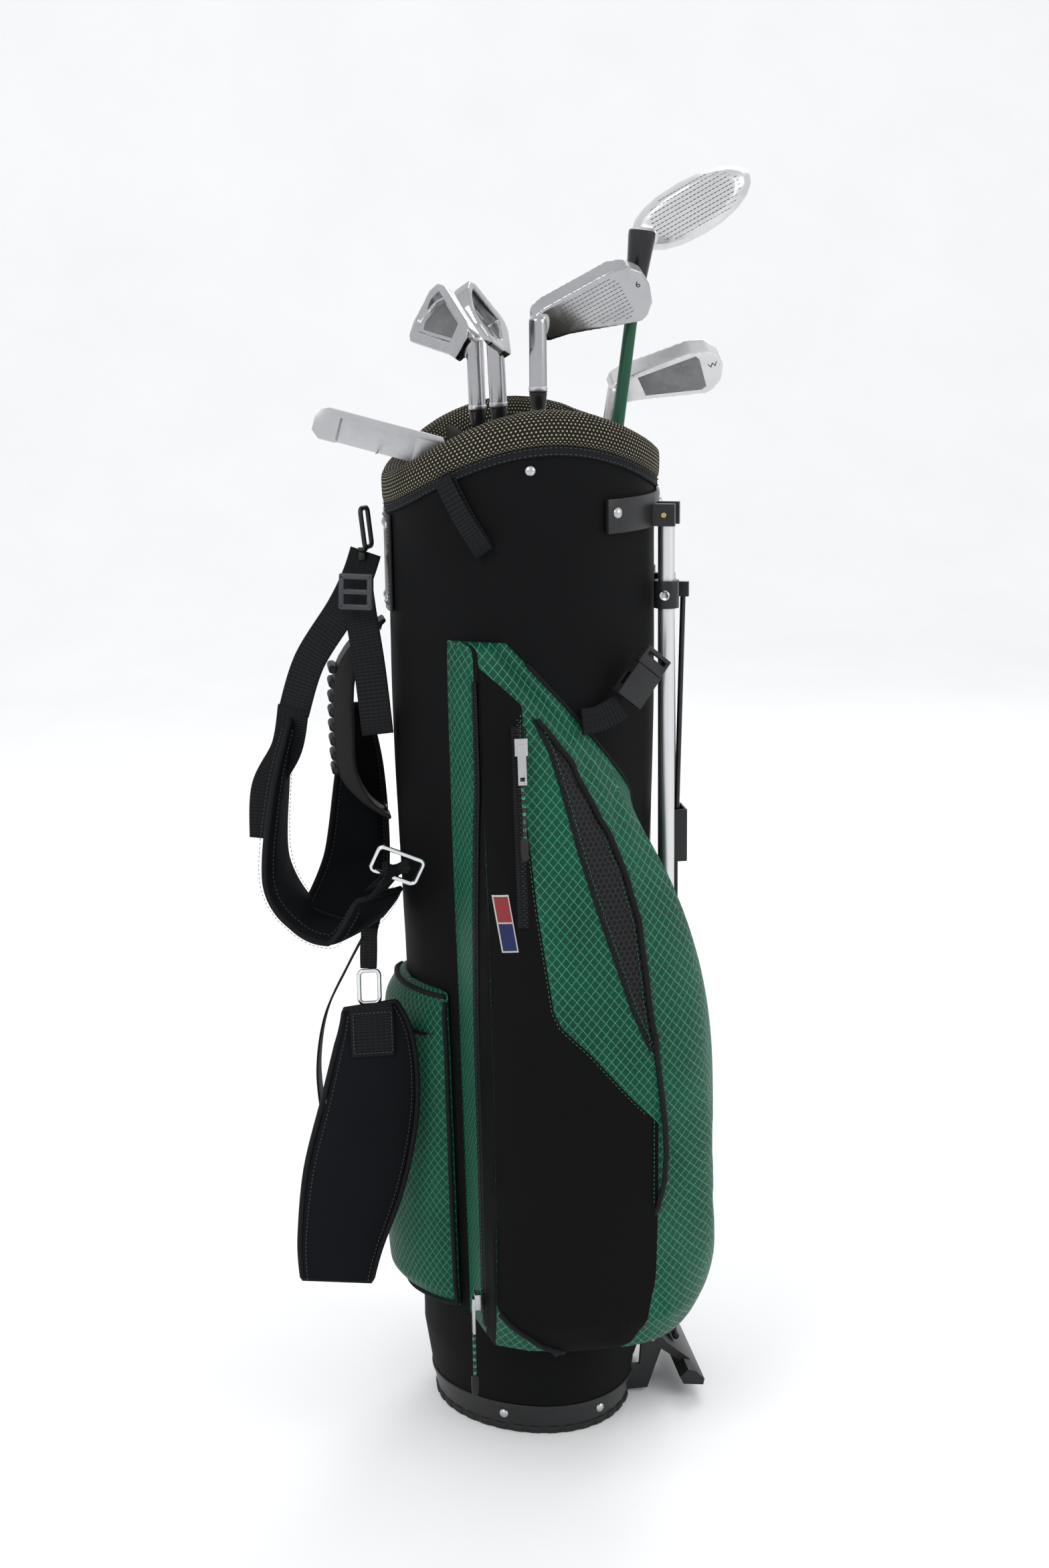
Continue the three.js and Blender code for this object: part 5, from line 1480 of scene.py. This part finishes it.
def makeStand():
    s = standLook
    eased("standHead", "stand_head", "blackPlastic", "stand_plastic", 0.8, 3, 40)
    bagRivets("standHeadRivets", [(a, 706) for a in (-56, -8, 8, 56)], 3.5, 1.1)
    quarter = math.radians(90)
    for side, end in ((-1, "near"), (1, "far")):
        place, leg = legPlace(side), "leg_" + end

        def part(name, profile, at, body, material, slotName, node, sides, angle=35):
            fitted(
                turnedPiece(name + "." + end, [(profile, at)], body, material, sides, angle), slotName, node
            )

        inner, outer, low, top = s["radius"] - s["wall"], s["radius"], -s["length"] + 3, 3.4
        tube = [
            (inner, low), (outer, low), (outer, top - 0.4), (outer - 0.4, top), (inner + 0.2, top),
            (inner, top - 0.3), (inner, low)
        ]
        part("legTube", tube, place, leg, "satinAluminium", "leg_tube", leg, 36, 40)
        base, bore, brim = -s["length"], outer + 0.3, -s["length"] + s["foot"]
        foot = [(0, base), (bore + 0.6, base), (bore + 2.2, base + 1.6), (bore + 2.6, base + 4)]
        for i in range(5):
            z = base + 6 + 3.2 * i
            foot += [(bore + 2.4, z), (bore + 1.7, z + 0.7), (bore + 1.7, z + 1.5), (bore + 2.3, z + 2.2)]
        foot += [
            (bore + 1.8, brim - 1), (bore + 1.2, brim), (bore, brim), (bore, base + 2.7), (0, base + 2.7)
        ]
        part("legTip", foot, place, leg, "blackRubber", "foot_rubber", "leg_foot_" + end, 36, 30)
        eased("legClamp." + end, "leg_clamp_" + end, "blackPlastic", "stand_plastic", 0.8, 3, 40)
        screw = [(0, 2.2), (1.1, 2.2), (1.3, 1.2), (3.2, 1.9), (3.9, 1.2), (4.1, 0), (0, 0)]
        local = place @ Matrix.Translation(Vector((0.5, side * 9.4, -58)) * mm)
        local = local @ Matrix.Rotation(-quarter * side, 4, "X")
        part("clampScrew", screw, local, leg, "platedSteel", "hook_steel", None, 24)
        half = s["radius"] + 0.5 + 4 + 0.6
        pin = [
            (0, -half), (1.7, -half), (2.0, -half + 0.3), (2.0, half), (4.0, half), (4.0, half + 0.9),
            (3.0, half + 2.0)
        ]
        pin += [(1.4, half + 2.0), (1.2, half + 1.2), (0, half + 1.2)]
        across = place @ Matrix.Rotation(-quarter, 4, "X")
        part("pivotScrew", pin, across, "bag", "turnedBrass", "hook_steel", "pivot_pin_" + end, 28)
        top, low = Vector((s["x"] + 17.5, side * 20, 642)), Vector((s["x"] + 16, side * 5, 458))
        long = (top - low).length
        rod = [(0, 0), (1.5, 0), (2, 0.5), (2, long + 1.2), (1.6, long + 2), (0, long + 2)]
        part(
            "linkRod", rod, frameAt(low, (top - low).normalized()), "rod_" + end, "blackRod", "rod_steel",
            "link_rod_" + end, 20
        )
    eased("pushRod", "push_rod", "blackPlastic", "stand_plastic", 0.7, 2, 40)
    eased("pedal", "pedal", "blackPlastic", "stand_plastic", 1.1, 3, 30)
    bm = bmesh.new()
    tilt = Matrix.Rotation(math.radians(pedalLook["tilt"]), 4, "Y")
    for i in range(pedalLook["treads"]):
        spot = Vector(pedalLook["first"]) + Vector((0, pedalLook["pitch"] * i, 0))
        blockMesh(bm, pedalLook["tread"], Matrix.Translation(spot * mm) @ tilt, 0.4, 2)
    finishPiece("pedalTreads", bm, "pedal", "blackRubber", 40)
    half = 26 + 0.6 + 4 + 1.5
    pin = [(0, -half), (2.1, -half), (2.5, -half + 0.4), (2.5, half - 0.4), (2.1, half), (0, half)]
    made = turnedPiece("pedalPin", [(pin, frameAt((92, 0, 46), (0, 1, 0)))], "bag", "turnedBrass", 28)
    fitted(made, "pin_brass", "pedal_pin")


# clubs
clubLooks = {  # foot and rim crossing (x, y), toe bearing, mouth height, kind, shaft finish and slot
    "fairway_wood": ((-34, -21), (70, -6), -8, 856, "wood", "greenShaft", "shaft_green"),
    "iron_nine": ((2, -46), (8, -38), -12, 789, "iron", "greenShaft", "shaft_green"),
    "iron_seven": ((-11, 7), (-28.3, 14), 102, 774, "iron", "greyShaft", "shaft_grey"),
    "iron_six": ((15, 8), (-15, -6), -119, 777, "iron", "greyShaft", "shaft_grey"),
    "wedge": ((-43, 38), (69, 16), -8, 738, "wedge", "greyShaft", "shaft_grey"),
    "putter": ((-56, -2), (-60.5, 6.5), 172, 726, "putter", "brightShaft", "shaft_silver"),
}
clubShape = {
    "butt": 11.2, "gripMouth": 8.6, "gripLong": 230.0, "shaftButt": 6.9, "shaftTip": 4.6, "socket": 26.0,
    "ferrule": 12.5
}


def clubPlace(look):
    foot, rim, toe, mouth = look[:4]
    start = Vector((*foot, 5.8))
    ahead = (Vector((*rim, 750)) - start).normalized()
    start.z += clubShape["butt"] * math.hypot(ahead.x, ahead.y)
    towards = Vector((math.cos(math.radians(toe)), math.sin(math.radians(toe)), 0))
    face = ahead.cross(towards).normalized()
    turn = Matrix((face.cross(ahead), face, ahead)).transposed().to_4x4()
    return Matrix.Translation(start * mm) @ turn, (mouth - start.z) / ahead.z


# X along the sole to the toe, Y up the face, Z out of the back, in mm
def facePlace(lie, loft, drop, forward):
    c, s = math.cos(math.radians(lie)), math.sin(math.radians(lie))
    sole, rise, behind = Vector((s, 0, c)), Vector((c, 0, -s)), Vector((0, 1, 0))
    lc, ls = math.cos(math.radians(loft)), math.sin(math.radians(loft))
    face, back = rise * lc + behind * ls, behind * lc - rise * ls
    return Matrix.Translation(
        Vector((0, -forward, drop)) * mm
    ) @ Matrix((sole, face, back)).transposed().to_4x4()


faceLooks = {  # head frame (lie, loft, drop, forward), first and last groove, their pitch and reach
    "iron": ((62, 36, 54, 6), 5, 42, 3.3, 14, 60),
    "wedge": ((62, 48, 54, 6), 6, 40, 2.8, 16, 58),
    "wood": ((54, 0, 62, 8), 3, 33, 2.9, -4, 66),
}


plateLooks = {  # outline on the head, height, rise and rim in mm
    "Insert": ([(15, 3.5), (60, 3.5), (62, 8), (62, 41), (58, 43), (17, 26.5)], -0.02, -0.08, 0.0),
    "Badge": ([(20, 11), (60, 11), (64, 18), (63, 32), (58, 36), (27, 23), (20, 20)], 3.3, 0.35, 1.2),
}


def makePlate(name, kind, at):
    outline, base, rise, rim = plateLooks[kind]
    bm = bmesh.new()
    face = bm.faces.new([bm.verts.new((x * mm, y * mm, base * mm)) for x, y in outline])
    if rim:
        bmesh.ops.inset_region(bm, faces=[face], thickness=rim * mm, depth=0.0)
    grown = bmesh.ops.extrude_face_region(bm, geom=[face])
    lifted = [v for v in grown["geom"] if isinstance(v, bmesh.types.BMVert)]
    bmesh.ops.translate(bm, vec=(0, 0, rise * mm), verts=lifted)
    bmesh.ops.recalc_face_normals(bm, faces=bm.faces)
    bmesh.ops.transform(bm, matrix=at, verts=bm.verts)
    finishPiece(name + kind, bm, name, "blastedFace", 30)


def makeFace(name, kind, place, mouth, head):
    (lie, loft, drop, forward), first, last, pitch, heel, toe = faceLooks[kind]
    at = place @ facePlace(lie, loft, mouth + drop, forward)
    tree = BVHTree.FromObject(head, bpy.context.evaluated_depsgraph_get())
    back, behind = at.inverted(), (at.to_3x3() @ up).normalized()
    reach = 7.0 if kind == "wood" else 0.8  # how far the face may fall away under a groove
    pieces = []
    for row in range(int((last - first) / pitch) + 1):
        y = first + row * pitch
        low = heel + max(0.0, (y - 26) * 2.45) if kind != "wood" else heel + 0.03 * (y - 17) ** 2
        high = toe - max(0.0, abs(y - 24) - 14) * 0.9 if kind != "wood" else toe - 0.035 * (y - 17) ** 2
        count = max(2, int((high - low) / 3.0))
        spots = []
        for i in range(count + 1):
            x = lerp(low, high, i / count)
            hit = tree.ray_cast(at @ (Vector((x, y, -30)) * mm), behind)[0]
            spots.append(hit if hit is not None and (back @ hit).z < reach * mm else None)
        for a, b in zip(spots, spots[1:]):
            if a is not None and b is not None:
                size = ((b - a).length / mm + 0.05, 0.8, 0.16)
                pieces.append(laidOn((a + b) / 2, (b - a).normalized(), -behind, size, 0, 0.02))
    grooves = repeated(name + "Grooves", pieces, name, "faceGroove")
    if kind == "wedge":
        makePlate(name, "Insert", at)
    return at


marks = {"iron_nine": "9", "iron_seven": "7", "iron_six": "6", "wedge": "W"}
markLook = {"tall": 7.0, "thick": 0.06, "along": 70.5, "up": 20, "sunk": -0.1}


def makeMark(club, flip, at):  # a plain number or letter by the toe, as a thin inlay
    m, name = markLook, club + "Mark"
    curve = bpy.data.curves.new(name + "Text", "FONT")
    curve.body, curve.size, curve.extrude = marks[club], m["tall"] * mm, m["thick"] * mm
    curve.align_x, curve.align_y = "CENTER", "CENTER"
    holder = bpy.data.objects.new(name + "Text", curve)
    bpy.context.scene.collection.objects.link(holder)
    bm = bmesh.new()
    bm.from_mesh(
        bpy.data.meshes.new_from_object(holder.evaluated_get(bpy.context.evaluated_depsgraph_get()))
    )
    bpy.data.objects.remove(holder)
    bmesh.ops.remove_doubles(bm, verts=bm.verts, dist=1e-6)
    spot = Matrix(
        (
            (flip, 0, 0, m["along"] * mm), (0, -flip, 0, m["up"] * mm), (0, 0, -1, m["sunk"] * mm),
            (0, 0, 0, 1)
        )
    )
    bmesh.ops.transform(bm, matrix=at @ spot, verts=bm.verts)
    finishPiece(name, bm, club, "blackPlastic", 30)


def gripProfile():
    c = clubShape
    butt, mouth, tall, bore = c["butt"], c["gripMouth"], c["gripLong"], c["shaftButt"] + 0.3
    grip = [(0, 0), (butt - 2.2, 0), (butt - 0.5, 0.6), (butt, 2.2)]
    for i in range(34):  # rings round the grip
        z = 8 + 6.2 * i
        r = lerp(butt - 0.2, mouth + 0.1, z / tall)
        grip += [(r, z), (r, z + 4.4), (r - 0.35, z + 4.9), (r - 0.35, z + 5.6)]
    return [*grip, (mouth, tall - 3), (mouth - 0.4, tall), (bore, tall), (bore, 3), (0, 3)]


def makeClubs():
    c = clubShape
    for name, look in clubLooks.items():
        place, mouth = clubPlace(look)
        kind, shaftFinish, shaftSlot = look[4:]

        def part(suffix, profile, material, slotName, node=None, sides=28, angle=30):
            made = turnedPiece(name + suffix, [(profile, place)], name, material, sides, angle)
            fitted(made, slotName, node and name + node)

        part("Grip", gripProfile(), "gripRubber", "grip_rubber", "_grip")
        butt, tip, end = c["shaftButt"], c["shaftTip"], mouth + c["socket"] - 0.3
        shaft = [(0, 3.3), (butt, 3.3), (butt, c["gripLong"]), (tip, mouth - 120), (tip, end), (0, end)]
        part("Shaft", shaft, shaftFinish, shaftSlot, "_shaft")
        if kind in ("iron", "wedge"):
            high, bore = mouth - 0.3, tip + 0.3
            low = high - c["ferrule"]
            ring = [(bore, low), (bore + 0.5, low)]
            ring += [(lerp(5.4, 6.4, i / 4), low + 1.5 + 2.4 * i) for i in range(5)]
            ring += [
                (6.4, high - 1.2), (6.1, high - 0.9), (6.5, high - 0.6), (6.5, high), (bore, high),
                (bore, low)
            ]
            part("Ferrule", ring, "ferrulePlastic", "ferrule", "_ferrule", 32)
            headFinish = "chromeHead" if kind == "iron" else "satinHead"
            head = eased(name + "Head", name + "_head", headFinish, "head_steel", cast=(0.9, 14))
            at = makeFace(name, kind, place, mouth, head)
            makePlate(name, "Badge", at)
            makeMark(name, 1 if kind == "wedge" else -1, at)
            foot, top = mouth - 0.25, mouth + 2.9
            collar = [
                (5.0, foot), (6.4, foot), (6.65, foot + 0.45), (6.65, top - 0.3), (6.4, top), (5.0, top),
                (5.0, foot)
            ]
            part("HoselRing", collar, "satinHead", "head_steel", None, 36, 35)
        elif kind == "wood":
            head = eased(name + "Head", name + "_head", "satinHead", "wood_shell", cast=(1.1, 12))
            makeFace(name, kind, place, mouth, head)
            foot, top = mouth - 0.4, mouth + 43
            neck = [
                (4.95, foot), (6.1, foot), (6.55, foot + 1), (9.9, top - 4), (9.9, top - 1), (9.3, top),
                (4.95, top), (4.95, foot)
            ]
            part("Neck", neck, "blackHead", "wood_shell", None, 36)
        else:
            eased(name + "Head", name + "_head", "platedSteel", "head_steel", 1.3, 3, 34)
            at = place @ facePlace(74, 3, mouth + 30, 4)
            bm = bmesh.new()
            blockMesh(bm, (0.8, 0.3, 26), at @ Matrix.Translation(Vector((38, 23.1, 17)) * mm), 0.1, 1)
            finishPiece(name + "SightLine", bm, name, "blackPlastic", 40)


def makeDottedCord():
    table, surface, place = startFinish("dottedCord", (0.006, 0.007, 0.007), 0.75, Sheen_Weight=0.05)
    wide = place["Object"]
    part = table.split(wide)
    beat = table.math("SINE", table.times(part[2], 2 * math.pi / (5.5 * mm)))
    cells = table.noise(wide, 700.0, 1.0)
    mark = table.times(table.ranged(beat, 0.2, 0.6), table.ranged(cells, 0.42, 0.5))
    feed(table, surface, "Base Color", table.mix(mark, (0.007, 0.0075, 0.008, 1), (0.02, 0.28, 0.14, 1)))
    feed(table, surface, "Roughness", table.ranged(cells, 0.3, 0.7, 0.6, 0.85))
    bump(table, surface, table.noise(wide, 1400.0, 2.0), 0.15 * mm)


# floor, backdrop and light
studio = {"floor": (0.92, 0.92, 0.92), "key": 26.0, "fill": 14.0, "back": 14.0, "world": 1.03}


def makeStudio():
    bm = bmesh.new()
    bmesh.ops.create_grid(bm, x_segments=40, y_segments=60, size=1.0)
    for vert in bm.verts:
        x, y = vert.co.x * 6, vert.co.y * 5 + 1.5
        rise = max(0.0, y - 3.0)
        turn = min(rise / 2.0, math.pi / 2)
        vert.co = (
            x, min(y, 3.0) + 2.0 * math.sin(turn), 2.0 * (1 - math.cos(turn)) + max(0.0, rise - math.pi)
        )
    made = finishPiece("studioFloor", bm, None, "paleFloor")
    for name, place, size, power in (
        ("keyLight", (-1.7, -1.9, 2.3), 1.5, studio["key"]),
        ("fillLight", (2.1, -1.3, 1.5), 1.4, studio["fill"]),
        ("backLight", (0.9, 1.7, 2.0), 1.2, studio["back"]),
    ):
        light = bpy.data.lights.new(name, "AREA")
        light.shape, light.size, light.energy = "DISK", size, power
        lamp = bpy.data.objects.new(name, light)
        bpy.context.scene.collection.objects.link(lamp)
        lamp.location = place
        lamp.rotation_euler = (Vector((0, 0, 0.45)) - Vector(place)).to_track_quat("-Z", "Y").to_euler()
    world = bpy.data.worlds.new("studioWorld")
    bpy.context.scene.world = world
    world.use_nodes = True
    back = world.node_tree.nodes["Background"]
    back.inputs[0].default_value = (0.93, 0.94, 0.96, 1)
    back.inputs[1].default_value = studio["world"]


def makeFloorFinish():
    table, surface, place = startFinish("paleFloor", studio["floor"], 0.75)
    cloud = grainOf(table, place, 3.0, 300.0)
    feed(
        table, surface, "Base Color", table.mix(cloud["Cloud"], (0.9, 0.9, 0.903, 1), (0.93, 0.93, 0.93, 1))
    )


patchLook = {"centre": (-34.5, 428.0), "size": (11.0, 40.0), "lean": 8.0, "lift": 0.9}


def makePatch(target):  # a plain two-block patch sewn to the panel
    x0, z0 = patchLook["centre"]
    wide, tall = patchLook["size"]
    tree = BVHTree.FromObject(target, bpy.context.evaluated_depsgraph_get())
    lean = math.radians(patchLook["lean"])

    def laid(u, v, lift):
        a, b = (u - 0.5) * wide, (v - 0.5) * tall
        x, z = x0 + a * math.cos(lean) - b * math.sin(lean), z0 + a * math.sin(lean) + b * math.cos(lean)
        hit = tree.ray_cast(Vector((x * mm, -0.4, z * mm)), Vector((0, 1, 0)))[0]
        return (hit or Vector((x * mm, -0.13, z * mm))) - Vector((0, lift * mm, 0))

    def slab(name, u0, u1, v0, v1, lift, material):
        bm = bmesh.new()
        bmesh.ops.create_grid(bm, x_segments=6, y_segments=12, size=0.5)
        grown = bmesh.ops.extrude_face_region(bm, geom=bm.faces[:])
        front = {v for v in grown["geom"] if isinstance(v, bmesh.types.BMVert)}
        for vert in bm.verts:
            u, v = lerp(u0, u1, vert.co.x + 0.5), lerp(v0, v1, vert.co.y + 0.5)
            vert.co = laid(u, v, lift if vert in front else 0.1)
        bmesh.ops.recalc_face_normals(bm, faces=bm.faces)
        made = finishPiece(name, bm, "bag", material, 40)
        unwrapBox(made)

    lift = patchLook["lift"]
    slab("panelPatch", 0, 1, 0, 1, lift, "patchPale")
    slab("panelPatchLow", 0.08, 0.92, 0.03, 0.5, lift + 0.25, "patchBlue")
    slab("panelPatchTop", 0.08, 0.92, 0.53, 0.97, lift + 0.25, "patchRed")


def makePatchFinishes():
    for name, color in (
        ("patchPale", (0.5, 0.49, 0.46)), ("patchBlue", (0.012, 0.022, 0.09)),
        ("patchRed", (0.24, 0.03, 0.035))
    ):
        table, surface, place = startFinish(name, color, 0.6, Specular_IOR_Level=0.2)
        ribs = table.group("clothRibs", Vector=place["UV"], Pitch=0.7 * mm, Slope=0.5)
        # a darker copy of the colour fills the rib troughs and the crests keep the full colour: painted
        # shade between the ribs
        low = tuple(0.75 * c for c in color)
        feed(table, surface, "Base Color", table.mix(ribs["Height"], (*low, 1), (*color, 1)))
        bump(table, surface, ribs["Height"], 0.15 * mm)


makePatchFinishes()
makeDottedCord()
makeFloorFinish()
makeZipPulls()
makeTube()
makeMouth()
makeBigPocket()
makePatch(bpy.data.objects["bigPocket"])
makeBallPocket()
print("bag body ready")
makeBagHardware()
makeWires()
makeStrap()
print("strap ready")
makeStand()
print("stand ready")
makeClubs()
print("clubs ready")
makeStudio()
